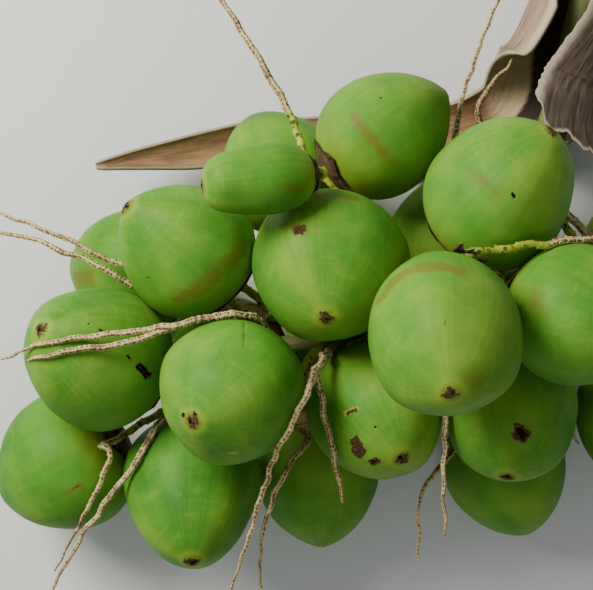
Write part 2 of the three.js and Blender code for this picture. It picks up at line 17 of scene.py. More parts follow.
import bmesh
import bpy
import numpy as np
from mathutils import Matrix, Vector, noise


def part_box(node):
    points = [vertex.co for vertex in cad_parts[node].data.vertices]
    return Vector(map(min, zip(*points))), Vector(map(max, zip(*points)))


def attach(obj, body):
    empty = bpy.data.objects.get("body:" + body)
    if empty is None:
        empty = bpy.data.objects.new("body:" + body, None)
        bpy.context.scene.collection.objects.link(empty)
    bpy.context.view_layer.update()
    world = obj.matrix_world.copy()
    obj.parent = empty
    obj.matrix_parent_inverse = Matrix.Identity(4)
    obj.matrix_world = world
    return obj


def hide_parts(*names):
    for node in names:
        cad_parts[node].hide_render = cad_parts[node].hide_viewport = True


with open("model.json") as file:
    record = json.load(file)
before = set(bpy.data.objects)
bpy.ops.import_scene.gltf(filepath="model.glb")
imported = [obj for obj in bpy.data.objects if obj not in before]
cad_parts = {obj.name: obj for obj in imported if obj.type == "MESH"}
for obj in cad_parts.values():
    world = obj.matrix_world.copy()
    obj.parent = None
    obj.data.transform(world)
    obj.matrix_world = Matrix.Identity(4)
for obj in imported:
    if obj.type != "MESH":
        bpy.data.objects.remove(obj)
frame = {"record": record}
log = logging.getLogger("coconut_bunch")

MM = 0.001
UP = np.array([0.0, 0.0, 1.0])
Triple = tuple[float, float, float]
Colour = tuple[float, float, float, float]

# Shape of a fruit: broad at the stem end, tapering to a blunt nipple, with three soft ridges.
STEM_BREADTH = 0.14
BREADTH_NORM = 1.01
NIPPLE = 5.0
NIPPLE_SPREAD = 0.36
RIDGES = 3
RIDGE_SHARE = 0.75
RIDGE_MIDDLE = 0.02
RIDGE_SHOULDER = 0.042
SOLID_SIDES = 15
SOLID_RINGS = 8
SOLID_ALLOWANCE = 1.012

# Sizes of a spikelet, and where it runs.
CAP_THICKNESS = 6.0
FOOT_GAP = 0.5
FOOT_RISE = 14.0
FOOT_RADIUS = 5.2
TAIL_RADIUS = 2.9
TIP_RADIUS = 1.3
TIP_SHARE = 0.3
TAPER = 1.6
POLE_RISE = 0.45
SHOULDER_ANGLE = math.radians(62)
FREE_TAIL = 150.0
FREE_BEND = 12.0
FLANK_ROOM = 6.0
TWIG_STEP = 12.0

# Room that a spikelet keeps, and how it is moved clear.
CAP_ROOM = math.radians(40)
SIDE_ROOM = 1.6
CROSS_ROOM = 3.2
SHEET_ROOM = 8.0
GROUND_GAP = 1.0
CLEARING_PASSES = 60
LAST_PASSES = 8
SMOOTHING = 0.3
NEAR_WAY = 170.0
NEAR_LENGTH = 60.0
FRUIT_REACH = 0.56
FRUIT_MARGIN = 12.0


class MarkKind(Enum):
    """What the rind carries in one place: its layers, and where each starts and is full."""

    BRUISE = (("bruise", 1.1, 0.0),)
    CORK = (("pit", 0.7, 0.35), ("cork", 1.0, 0.72))
    SPECK = (("pit", 1.0, 0.5),)
    # Pale patches of the rind; the one on fruit 23 is a painted highlight.
    PALE = (("pale", 1.0, 0.3),)


class CapLook(Enum):
    """How far a fruit's cap has dried."""

    DRYING = 0.5
    DARK = 1.0


@dataclass(frozen=True)
class Mark:
    """A mark on a rind: a dot or a line that the eye sees at these places across and up."""

    kind: MarkKind
    strength: float
    size: float
    line: tuple[tuple[float, float], ...]


def unit(vector: np.ndarray) -> np.ndarray:
    """The vector at length one, or as it is where it has no length."""
    length = float(np.linalg.norm(vector))
    return vector / length if length else vector


def units(vectors: np.ndarray) -> np.ndarray:
    """Many vectors, each at length one."""
    return vectors / np.linalg.norm(vectors, axis=-1, keepdims=True)


def travelled(points: Sequence[np.ndarray]) -> np.ndarray:
    """How far along straight chords through the points each of them is."""
    chords = np.linalg.norm(np.diff(np.asarray(points, float), axis=0), axis=1)
    return np.concatenate([[0], np.cumsum(chords)])


def eased(value: np.ndarray | float, low: np.ndarray | float,
          high: np.ndarray | float) -> np.ndarray:
    """A smooth step.

    Args:
        value: What is read.
        low: Where the step starts, at 0.
        high: Where it ends, at 1. It may lie below low.

    Returns:
        The step's height.
    """
    share = np.clip((value - low) / (high - low), 0.0, 1.0)
    return share * share * (3 - 2 * share)


def staged(values: Sequence[float], share: float | np.ndarray) -> float | np.ndarray:
    """Values that are given at even stages, read at shares of the way."""
    return np.interp(share * (len(values) - 1), range(len(values)), values)


def rough(points: np.ndarray, scale: float, seed: float, octaves: int = 2) -> np.ndarray:
    """Smooth noise from -1 to 1.

    Args:
        points: Places in millimetres.
        scale: The size of its lumps.
        seed: Which noise.
        octaves: How many finer layers it has.

    Returns:
        The noise at each place.
    """
    offset = Vector((seed * 3.1, seed * 1.7, seed * 5.3))
    return np.array([
        noise.fractal(Vector(point) / scale + offset, 1.0, 2.0, octaves) for point in points.tolist()
    ])


class SmoothLine:
    """A smooth line through points, as the solids' own lines are, with no loops at close points."""

    SAMPLES = 201
    TANGENT_STEP = 1e-4

    def __init__(self, points: Sequence[Sequence[float]]) -> None:
        """Lays the line through its points.

        Args:
            points: The points, from first to last.
        """
        inner = np.asarray(points, float)
        self.last = len(inner) - 1
        laid = np.vstack([2 * inner[0] - inner[1], inner, 2 * inner[-1] - inner[-2]])
        before, start, end, after = laid[:-3], laid[1:-2], laid[2:-1], laid[3:]
        gaps = np.maximum(np.linalg.norm(np.diff(laid, axis=0), axis=1), 1e-8)[:, None] ** 0.5
        first, middle, final = gaps[:-2], gaps[1:-1], gaps[2:]
        straight = (end - start) / middle
        leave = ((start - before) / first - (end - before) / (first + middle) + straight) * middle
        arrive = (straight - (after - start) / (middle + final) + (after - end) / final) * middle
        self.terms = (start, leave, 3 * (end - start) - 2 * leave - arrive,
                      2 * (start - end) + leave + arrive)
        self.times = np.linspace(0, 1, self.SAMPLES)
        self.lengths = travelled(self.at(self.times))

    def at(self, time: float | np.ndarray) -> np.ndarray:
        """The points at times from 0 to 1, where each span takes the same time.

        Args:
            time: One time or many.

        Returns:
            The point at each.
        """
        place = np.asarray(time, float) * self.last
        span = np.minimum(place.astype(int), self.last - 1)
        weight = (place - span)[..., None]
        start, leave, square, cube = (term[span] for term in self.terms)
        return start + weight * (leave + weight * (square + weight * cube))

    def along(self, time: float | np.ndarray) -> np.ndarray:
        """The line's directions at times."""
        early = np.maximum(0.0, time - self.TANGENT_STEP)
        late = np.minimum(1.0, time + self.TANGENT_STEP)
        return units(self.at(late) - self.at(early))

    def time_at(self, share: float) -> float:
        """The time at which a share of the length has passed."""
        return float(np.interp(share * self.length, self.lengths, self.times))

    @property
    def length(self) -> float:
        """The line's length."""
        return float(self.lengths[-1])


@dataclass(frozen=True)
class Layout:
    """Where the bunch's own frame lies on the part's base, and how the eye above sees it."""

    shift: np.ndarray
    eye_height: float = 1750.0
    sight_level: float = 310.0

    @classmethod
    def told_by(cls, record: dict, cut_end: Triple) -> "Layout":
        """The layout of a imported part.

        Args:
            record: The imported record, whose first mount is the stalk's cut end.
            cut_end: The middle of the cut end in the bunch's own frame.

        Returns:
            The layout.
        """
        place = np.array(record["mounts"][0]["pos_m"], float) / MM
        return cls(shift=place - np.array(cut_end, float))

    @property
    def eye(self) -> np.ndarray:
        """The eye in the bunch's own frame."""
        return np.array([0.0, 0.0, self.eye_height])

    def metres(self, points: np.ndarray) -> np.ndarray:
        """Places of the bunch's own frame, in metres on the part's base."""
        return (points + self.shift) * MM

    def sighted(self, across: float, up: float, level: float) -> np.ndarray:
        """A place in the eye's view, at a given height."""
        spread = (self.eye_height - level) / (self.eye_height - self.sight_level)
        return np.array([across * spread, up * spread, level])


class Signal:
    """A shader or geometry value, whose operators add the nodes that work it out."""

    def __init__(self, bench: "Bench", socket: bpy.types.NodeSocket) -> None:
        """Wraps a socket of a bench's tree."""
        self.bench = bench
        self.socket = socket

    def _worked(self, operation: str, *values: "Signal | float") -> "Signal":
        """The result of one Math node."""
        return self.bench.signal("ShaderNodeMath", {"operation": operation}, dict(enumerate(values)))

    def __add__(self, other: "Signal | float") -> "Signal":
        """This and another value together."""
        return self._worked("ADD", self, other)

    __radd__ = __add__

    def __sub__(self, other: "Signal | float") -> "Signal":
        """This value less another."""
        return self._worked("SUBTRACT", self, other)

    def __rsub__(self, other: float) -> "Signal":
        """Another value less this one."""
        return self._worked("SUBTRACT", other, self)

    def __mul__(self, other: "Signal | float") -> "Signal":
        """This value times another."""
        return self._worked("MULTIPLY", self, other)

    __rmul__ = __mul__

    def __truediv__(self, other: "Signal | float") -> "Signal":
        """This value divided by another."""
        return self._worked("DIVIDE", self, other)

    def __rtruediv__(self, other: float) -> "Signal":
        """Another value divided by this one."""
        return self._worked("DIVIDE", other, self)

    def cosine(self) -> "Signal":
        """The cosine of this value."""
        return self._worked("COSINE", self)

    def at_most(self, other: "Signal | float") -> "Signal":
        """The smaller of two values."""
        return self._worked("MINIMUM", self, other)

    def eased(self, low: float, high: float) -> "Signal":
        """A smooth step of this value, from 0 at low to 1 at high. High may lie below low.

        Args:
            low: The value where the step is 0.
            high: The value where it is 1.

        Returns:
            The step's height.
        """
        turned = high < low
        return self.bench.signal(
            "ShaderNodeMapRange", {"interpolation_type": "SMOOTHSTEP"},
            {"Value": self, "From Min": min(low, high), "From Max": max(low, high),
             "To Min": float(turned), "To Max": float(not turned)})


class Bench:
    """A node tree, and the one way that nodes come into it."""

    def __init__(self, tree: bpy.types.NodeTree) -> None:
        """Works on a tree."""
        self.tree = tree

    def feed(self, socket: bpy.types.NodeSocket, value: object) -> None:
        """Links a value's socket to an input, or sets the input to a plain value.

        Args:
            socket: The input.
            value: A value, an output, or a plain number or vector.
        """
        source = value.socket if isinstance(value, Signal) else value
        if isinstance(source, bpy.types.NodeSocket):
            self.tree.links.new(source, socket)
        else:
            socket.default_value = source

    def node(self, kind: str, settings: dict | None = None,
             sockets: dict | None = None) -> bpy.types.Node:
        """Adds a node.

        Args:
            kind: The node's type.
            settings: What kind of work it does. They are set first. Stops are a colour ramp's
                places and colours.
            sockets: Values or links of its inputs, by name or number.

        Returns:
            The node.
        """
        made = self.tree.nodes.new(kind)
        for name, value in (settings or {}).items():
            if name == "stops":
                self._set_stops(made.color_ramp, value)
            else:
                setattr(made, name, value)
        for name, value in (sockets or {}).items():
            self.feed(made.inputs[name], value)
        return made

    @staticmethod
    def _set_stops(ramp: bpy.types.ColorRamp, stops: Sequence[tuple[float, Colour]]) -> None:
        """Gives a colour ramp its stops.

        Args:
            ramp: The ramp.
            stops: Places from 0 to 1, in order, and their colours.
        """
        while len(ramp.elements) > 1:
            ramp.elements.remove(ramp.elements[-1])
        ramp.elements[0].position, ramp.elements[0].color = stops[0]
        for place, colour in stops[1:]:
            ramp.elements.new(place).color = colour

    def output(self, kind: str, settings: dict | None = None, sockets: dict | None = None,
               which: int | str = 0) -> bpy.types.NodeSocket:
        """One output of a new node, by its number or name."""
        return self.node(kind, settings, sockets).outputs[which]

    def signal(self, kind: str, settings: dict | None = None, sockets: dict | None = None,
               which: int | str = 0) -> Signal:
        """One output of a new node, as a value."""
        return Signal(self, self.output(kind, settings, sockets, which))

    def vector(self, operation: str, *values: object) -> bpy.types.NodeSocket:
        """The vector result of one Vector Math node."""
        return self.output("ShaderNodeVectorMath", {"operation": operation}, dict(enumerate(values)))

    def scaled(self, vector: object, factor: "Signal | float") -> bpy.types.NodeSocket:
        """A vector made longer, or a colour made lighter, by a factor."""
        return self.output("ShaderNodeVectorMath", {"operation": "SCALE"},
                           {"Vector": vector, "Scale": factor})

    def noise(self, vector: object, scale: float, detail: float = 2.0, roughness: float = 0.5,
              distortion: float = 0.0) -> Signal:
        """Noise over a vector.

        Args:
            vector: What it is spread over.
            scale: How many lumps there are to a unit.
            detail: How many finer layers it has.
            roughness: How strong they are.
            distortion: How far it is swirled.

        Returns:
            The noise, from 0 to 1.
        """
        return self.signal("ShaderNodeTexNoise", None, {
            "Vector": vector, "Scale": scale, "Detail": detail, "Roughness": roughness,
            "Distortion": distortion})

    def streaks(self, vector: object, stretch: Triple, detail: float, roughness: float) -> Signal:
        """Noise over a vector that is first stretched in its three directions."""
        return self.noise(self.vector("MULTIPLY", vector, stretch), 1.0, detail, roughness)


class Coat(Bench):
    """The node tree of one material."""

    MIX_SHARE, MIX_FIRST, MIX_SECOND, MIX_COLOUR = 0, 6, 7, 2

    def __init__(self, name: str) -> None:
        """Starts an empty material.

        Args:
            name: The material's name.
        """
        self.material = bpy.data.materials.new(name)
        self.material.use_nodes = True
        super().__init__(self.material.node_tree)
        self.tree.nodes.clear()

    def value(self, name: str) -> Signal:
        """A number that the mesh carries."""
        return self.signal("ShaderNodeAttribute", {"attribute_name": name}, None, "Fac")

    def place(self, name: str) -> bpy.types.NodeSocket:
        """A vector that the mesh carries."""
        return self.output("ShaderNodeAttribute", {"attribute_name": name}, None, "Vector")

    def object_place(self) -> bpy.types.NodeSocket:
        """The place in the part's own frame."""
        return self.output("ShaderNodeTexCoord", which="Object")

    def cells(self, vector: object, scale: float) -> Signal:
        """How far a place is from the middle of its cell."""
        return self.signal("ShaderNodeTexVoronoi", None, {"Vector": vector, "Scale": scale}, "Distance")

    def mixed(self, share: "Signal | float", first: object, second: object) -> bpy.types.NodeSocket:
        """A colour between two.

        Args:
            share: 0 for the first colour, 1 for the second.
            first: A colour or a socket.
            second: A colour or a socket.

        Returns:
            The colour's socket.
        """
        sockets = {self.MIX_SHARE: share, self.MIX_FIRST: first, self.MIX_SECOND: second}
        return self.output("ShaderNodeMix", {"data_type": "RGBA"}, sockets, self.MIX_COLOUR)

    def ramp(self, share: Signal, stops: Sequence[tuple[float, Colour]]) -> bpy.types.NodeSocket:
        """A colour read from a ramp."""
        return self.output("ShaderNodeValToRGB", {"stops": stops}, {"Fac": share})

    def finish(self, colour: object, roughness: "Signal | float", height: Signal,
               relief: float, extras: dict | None = None) -> bpy.types.Material:
        """Ends the material in a plain surface shader.

        Args:
            colour: The base colour.
            roughness: The roughness.
            height: The fine relief, in metres once it is multiplied by relief.
            relief: How high one unit of it stands, in metres.
            extras: Other inputs that are the same all over.

        Returns:
            The material.
        """
        bump = self.output("ShaderNodeBump", None,
                           {"Strength": 1.0, "Distance": relief, "Height": height})
        surface = self.output("ShaderNodeBsdfPrincipled", None, {
            "Base Color": colour, "Roughness": roughness, "Normal": bump, **(extras or {})})
        self.node("ShaderNodeOutputMaterial", None, {"Surface": surface})
        return self.material


def shade(hexadecimal: str) -> Colour:
    """The linear colour of a screen colour such as 7fae35."""
    parts = [int(hexadecimal[i:i + 2], 16) / 255 for i in (0, 2, 4)]
    linear = [part / 12.92 if part <= 0.04045 else ((part + 0.055) / 1.055) ** 2.4 for part in parts]
    return (*linear, 1.0)


@dataclass(frozen=True)
class RindFinish:
    """Waxy green rind: satin, faintly streaked towards the tip, with bruises and corky scars."""

    deep: Colour = shade("3c781f")
    middle: Colour = shade("58942b")
    light: Colour = shade("7ca837")
    sappy: Colour = shade("a3b83c")
    rust: Colour = shade("775f22")
    umber: Colour = shade("5f4518")
    cork: Colour = shade("47321c")
    cork_pale: Colour = shade("967c54")
    pit: Colour = shade("1c0f08")
    broad_streaks: float = 11.0
    fine_streaks: float = 30.0
    rings: float = 44.0

    def material(self) -> bpy.types.Material:
        """Builds the rind's material, which all the fruits share.

        Returns:
            The material.
        """
        coat = Coat("rind")
        own = coat.place("own")
        round_tip = coat.place("round_tip")
        polar = coat.value("polar")
        clouds = coat.noise(own, 1.3, 2.0, 0.5)
        blotches = coat.noise(own, 4.5, 4.0, 0.6, 0.6)
        broad = coat.streaks(round_tip, (self.broad_streaks, self.broad_streaks, 1.1), 3.0, 0.55)
        narrow = coat.streaks(round_tip, (self.fine_streaks, self.fine_streaks, 2.4), 3.0, 0.6)
        ring = coat.streaks(round_tip, (1.1, 1.1, self.rings), 2.0, 0.5)
        fine = coat.noise(own, 60.0, 3.0, 0.6)
        # The tone value is each fruit's own tone; on fruit 13 it is also painted light, and on fruit 22
        # painted shade.
        body = coat.ramp(clouds * 0.66 + broad * 0.12 + blotches * 0.22 + coat.value("tone"), (
            (0.3, self.deep), (0.5, self.middle), (0.7, self.light)))
        near_stem = polar.eased(0.36, 0.12) * (0.3 + 0.4 * blotches)
        body = coat.mixed(near_stem, body, self.sappy)
        ridge = coat.value("ridge").eased(0.55, 1.0) * polar.eased(0.5, 0.8) * 0.16
        body = coat.mixed(ridge, body, self.sappy)
        arcs = ring.eased(0.5, 0.68) * polar.eased(0.4, 0.7) * blotches.eased(0.35, 0.6) * 0.15
        body = coat.mixed(arcs, body, self.sappy)
        halo = coat.value("halo")
        body = coat.mixed(halo.eased(0.1, 0.5) * (0.2 + 0.5 * fine), body, self.sappy)
        browned = halo.eased(0.4, 0.9) * (0.3 + blotches.eased(0.3, 0.6) * 0.4)
        body = coat.mixed(browned, body, self.umber)
        near_tip = polar.eased(0.55, 0.9)
        lines = (narrow - 0.5) * (0.12 + 0.3 * near_tip) + (broad - 0.5) * 0.12
        body = coat.scaled(body, 1.0 + lines + (fine - 0.5) * 0.12)
        speck = coat.cells(own, 17.0).eased(0.12, 0.05) * coat.noise(own, 3.1).eased(0.5, 0.62)
        body = coat.mixed(speck * 0.6, body, self.rust)
        scuffed = (0.5 + 0.8 * blotches.eased(0.35, 0.65)) * (0.5 + narrow)
        bruise = (coat.value("bruise") * scuffed).at_most(0.62)
        body = coat.mixed(bruise, body, self.rust)
        # Pale marks: the rind's pale patches, and a painted highlight on fruit 23.
        body = coat.mixed(coat.value("pale").at_most(0.8), body, self.sappy)
        cork = coat.value("cork")
        grain = coat.noise(own, 90.0, 3.0, 0.7)
        body = coat.mixed(cork.eased(0.15, 0.55), body,
                          coat.mixed(grain.eased(0.52, 0.66), self.cork, self.cork_pale))
        body = coat.mixed(coat.value("pit").eased(0.15, 0.6), body, self.pit)
        roughness = 0.5 + 0.1 * clouds + 0.4 * cork.at_most(1.0)
        height = 0.3 * narrow + 0.3 * ring + 0.25 * fine + 2.0 * grain * cork
        return coat.finish(body, roughness, height, 0.0003, {
            "Coat Weight": 0.04, "Coat Roughness": 0.35, "Specular IOR Level": 0.1})


@dataclass(frozen=True)
class SpikeletFinish:
    """Dry, pitted spikelet: yellow-green and spotted near its fruit, tan and corky further out."""

    fresh: Colour = shade("b2c02c")
    fresh_dark: Colour = shade("84981c")
    tan: Colour = shade("d6bd7e")
    brown: Colour = shade("62402a")
    ashen: Colour = shade("f0e0b0")
    pit: Colour = shade("23130b")

    def material(self) -> bpy.types.Material:
        """Builds the spikelets' material.

        Returns:
            The material.
        """
        coat = Coat("spikelet")
        place = coat.object_place()
        lumps = coat.noise(place, 60.0, 3.0, 0.6)
        fine = coat.noise(place, 700.0, 3.0, 0.65)
        age = coat.value("dry")
        dry = coat.mixed((lumps * 0.6 + fine * 0.4).eased(0.3, 0.5), self.brown, self.tan)
        dry = coat.mixed((lumps * 0.5 + fine * 0.5).eased(0.5, 0.66) * 0.75, dry, self.ashen)
        green = coat.mixed(lumps.eased(0.35, 0.65), self.fresh_dark, self.fresh)
        body = coat.mixed((age + (lumps - 0.5) * 0.5).eased(0.35, 0.65), green, dry)
        spots = coat.cells(place, 115.0).eased(0.33, 0.24) * age.eased(0.6, 0.3)
        body = coat.mixed(spots * 0.85, body, self.pit)
        hollow = (coat.value("knurl") + (fine - 0.5) * 0.9 + (lumps - 0.5) * 1.4).eased(-0.06, -0.42)
        body = coat.mixed(hollow * age.eased(0.2, 0.8) * 0.95, body, self.brown)
        # The flower scars' pits: their near-black is partly their own colour and partly painted shade.
        body = coat.mixed(coat.value("pit").eased(0.3, 0.8) * 0.92, body, self.pit)
        return coat.finish(body, 0.62 + 0.2 * fine, fine * 0.6 + lumps, 0.0005)


@dataclass(frozen=True)
class CapFinish:
    """Leathery flower leaves of a cap: yellow-green turning brown from their edges."""

    fresh: Colour = shade("a9b53f")
    tan: Colour = shade("9a7a48")
    brown: Colour = shade("4c3220")

    def material(self) -> bpy.types.Material:
        """Builds the caps' material.

        Returns:
            The material.
        """
        coat = Coat("cap")
        place = coat.object_place()
        lumps = coat.noise(place, 90.0, 4.0, 0.6)
        veins = coat.noise(coat.place("leaf"), 6.0, 3.0, 0.6)
        old = coat.value("age")
        age = old + coat.value("edge") * (0.1 + 0.5 * old) + (lumps - 0.5) * 0.5
        body = coat.ramp(age, ((0.15, self.fresh), (0.5, self.tan), (0.85, self.brown)))
        body = coat.scaled(body, 0.75 + 0.5 * veins)
        return coat.finish(body, 0.6 + 0.2 * lumps, veins + lumps, 0.0006)


@dataclass(frozen=True)
class StalkFinish:
    """Smooth green stalk with faint stripes, darkened all over as painted shade, and a pale, fibrous cut
    end.
    """

    # The first three colours are darker than the stalk's own, as painted shade for the gap between the
    # fruits where it shows.
    green: Colour = shade("56682a")
    yellow: Colour = shade("77763a")
    brown: Colour = shade("4a3a22")
    wood: Colour = shade("d6c79a")
    fibre: Colour = shade("8a6a3c")

    def material(self) -> bpy.types.Material:
        """Builds the main stalk's material.

        Returns:
            The material.
        """
        coat = Coat("stalk")
        place = coat.object_place()
        stripes = coat.streaks(coat.place("skin"), (16.0, 16.0, 1.2), 4.0, 0.6)
        patches = coat.noise(place, 22.0, 4.0, 0.6)
        body = coat.mixed(stripes.eased(0.35, 0.65), self.green, self.yellow)
        body = coat.mixed(patches.eased(0.55, 0.75) * 0.7, body, self.brown)
        strands = coat.cells(place, 520.0)
        core = coat.mixed(strands.eased(0.42, 0.2), self.wood, self.fibre)
        core = coat.mixed(patches.eased(0.4, 0.8) * 0.5, core, self.brown)
        cut = coat.value("cut")
        body = coat.mixed(cut.eased(0.3, 0.7), body, core)
        height = stripes + patches * 0.5 + strands * cut * 2.0
        return coat.finish(body, 0.5 + 0.15 * patches + 0.2 * cut, height, 0.0005,
                           {"Coat Weight": 0.08, "Coat Roughness": 0.35})


@dataclass(frozen=True)
class SheathFinish:
    """Dry spathe or bract: warm and smooth inside, grey and ribbed outside, with a pale rim, and painted
    light and painted shade on its inner face near the foot.
    """

    name: str
    inside: Colour
    inside_dark: Colour
    outside: Colour
    outside_dark: Colour
    rim: Colour
    foot: Colour
    # The next two colours are painted light and painted shade for the inner face near the foot.
    weathered: Colour
    shaded: Colour

    def material(self) -> bpy.types.Material:
        """Builds one sheath's material.

        Returns:
            The material.
        """
        coat = Coat(self.name)
        laid = coat.place("laid")
        fibres = coat.streaks(laid, (2.0, 26.0, 2.0), 5.0, 0.62)
        threads = coat.streaks(laid, (5.0, 140.0, 2.0), 3.0, 0.6)
        clouds = coat.noise(laid, 2.4, 4.0, 0.6)
        warm = coat.mixed((fibres * 0.5 + clouds * 0.5).eased(0.35, 0.62), self.inside_dark, self.inside)
        # Painted shade, then painted light, on the inner face near the foot.
        warm = coat.mixed(coat.value("shaded"), warm, self.shaded)
        painted_lit_share = coat.value("weathered") * (0.5 + 0.8 * fibres).at_most(1.0)
        warm = coat.mixed(painted_lit_share, warm, self.weathered)
        grey = coat.mixed((fibres * 0.7 + clouds * 0.3).eased(0.38, 0.6), self.outside_dark, self.outside)
        body = coat.mixed(coat.value("outer").eased(0.4, 0.6), warm, grey)
        foot = coat.value("foot") * coat.value("outer") * 0.85
        body = coat.mixed(foot, body, coat.mixed(fibres.eased(0.3, 0.6), self.outside_dark, self.foot))
        body = coat.mixed((coat.value("rim") * (0.6 + 0.6 * fibres)).at_most(1.0), body, self.rim)
        body = coat.scaled(body, 0.7 + 0.4 * threads + 0.2 * clouds)
        stain = coat.noise(laid, 6.0, 4.0, 0.65).eased(0.6, 0.75) * 0.5
        body = coat.mixed(stain, body, self.outside_dark)
        return coat.finish(body, 0.66 + 0.2 * threads, fibres * 1.5 + threads, 0.0006)


def linked(name: str, data: bpy.types.ID) -> bpy.types.Object:
    """A new object of the scene that shows some data."""
    made = bpy.data.objects.new(name, data)
    bpy.context.scene.collection.objects.link(made)
    return made


def add_mesh(name: str, corners: np.ndarray, faces: Sequence[Sequence[int]],
             carried: dict[str, np.ndarray], material: bpy.types.Material | None = None,
             edges: Sequence[tuple[int, int]] = ()) -> bpy.types.Object:
    """Makes a smooth mesh object at the origin.

    Args:
        name: The object's name.
        corners: Its corners, in metres.
        faces: Its faces' corner numbers.
        carried: Numbers or vectors that the corners carry for the materials.
        material: Its material.
        edges: Its edges' corner numbers, where it has no faces.

    Returns:
        The object.
    """
    mesh = bpy.data.meshes.new(name)
    mesh.from_pydata(corners.tolist(), edges, faces)
    for key, values in carried.items():
        kind, part = ("FLOAT", "value") if values.ndim == 1 else ("FLOAT_VECTOR", "vector")
        layer = mesh.attributes.new(key, kind, "POINT")
        layer.data.foreach_set(part, values.astype(np.float32).ravel())
    if material:
        mesh.materials.append(material)
    mesh.shade_smooth()
    return linked(name, mesh)


def face_outward(piece: bpy.types.Object) -> None:
    """Turns the faces of a closed piece outward.

    Args:
        piece: The piece, whose mesh is changed.
    """
    work = bmesh.new()
    work.from_mesh(piece.data)
    bmesh.ops.recalc_face_normals(work, faces=work.faces)
    work.to_mesh(piece.data)
    work.free()


def grid_faces(rows: int, columns: int, closed: bool, flipped: bool = False,
               start: int = 0) -> list[tuple[int, ...]]:
    """Faces of a grid of corners.

    Args:
        rows: How many rows of corners there are.
        columns: How many corners a row has.
        closed: Whether each row runs round to its start.
        flipped: Whether the faces look the other way.
        start: The number of the first corner.

    Returns:
        The faces.
    """
    faces = []
    for row in range(rows - 1):
        for column in range(columns if closed else columns - 1):
            after = (column + 1) % columns
            low, high = start + row * columns, start + (row + 1) * columns
            face = (low + column, low + after, high + after, high + column)
            faces.append(face[::-1] if flipped else face)
    return faces


def fan_faces(middle: int, first: int, count: int, flipped: bool = False) -> list[tuple[int, ...]]:
    """Faces between a ring of corners, which starts at the first, and the corner in its middle."""
    pairs = [(first + i, first + (i + 1) % count) for i in range(count)]
    return [(middle, *(pair[::-1] if flipped else pair)) for pair in pairs]


def rim_faces(rows: int, columns: int, upper: int, lower: int) -> list[tuple[int, ...]]:
    """Faces that join the edges of two grids, one above the other.

    Args:
        rows: How many rows of corners each has.
        columns: How many corners a row has.
        upper: The number of the first grid's first corner.
        lower: The number of the second one's.

    Returns:
        The faces.
    """
    border = (list(range(columns)) + [row * columns + columns - 1 for row in range(1, rows)]
              + [(rows - 1) * columns + column for column in range(columns - 2, -1, -1)]
              + [row * columns for row in range(rows - 2, 0, -1)])
    return [(upper + start, upper + end, lower + end, lower + start)
            for start, end in zip(border, border[1:] + border[:1])]


def settle(piece: bpy.types.Object, node: str) -> bpy.types.Object:
    """Gives a finished piece its body, and hides the solid that it stands for.

    Args:
        piece: The finished piece.
        node: The solid that it stands for.

    Returns:
        The same piece.
    """
    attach(piece, "root")
    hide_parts(node)
    return piece


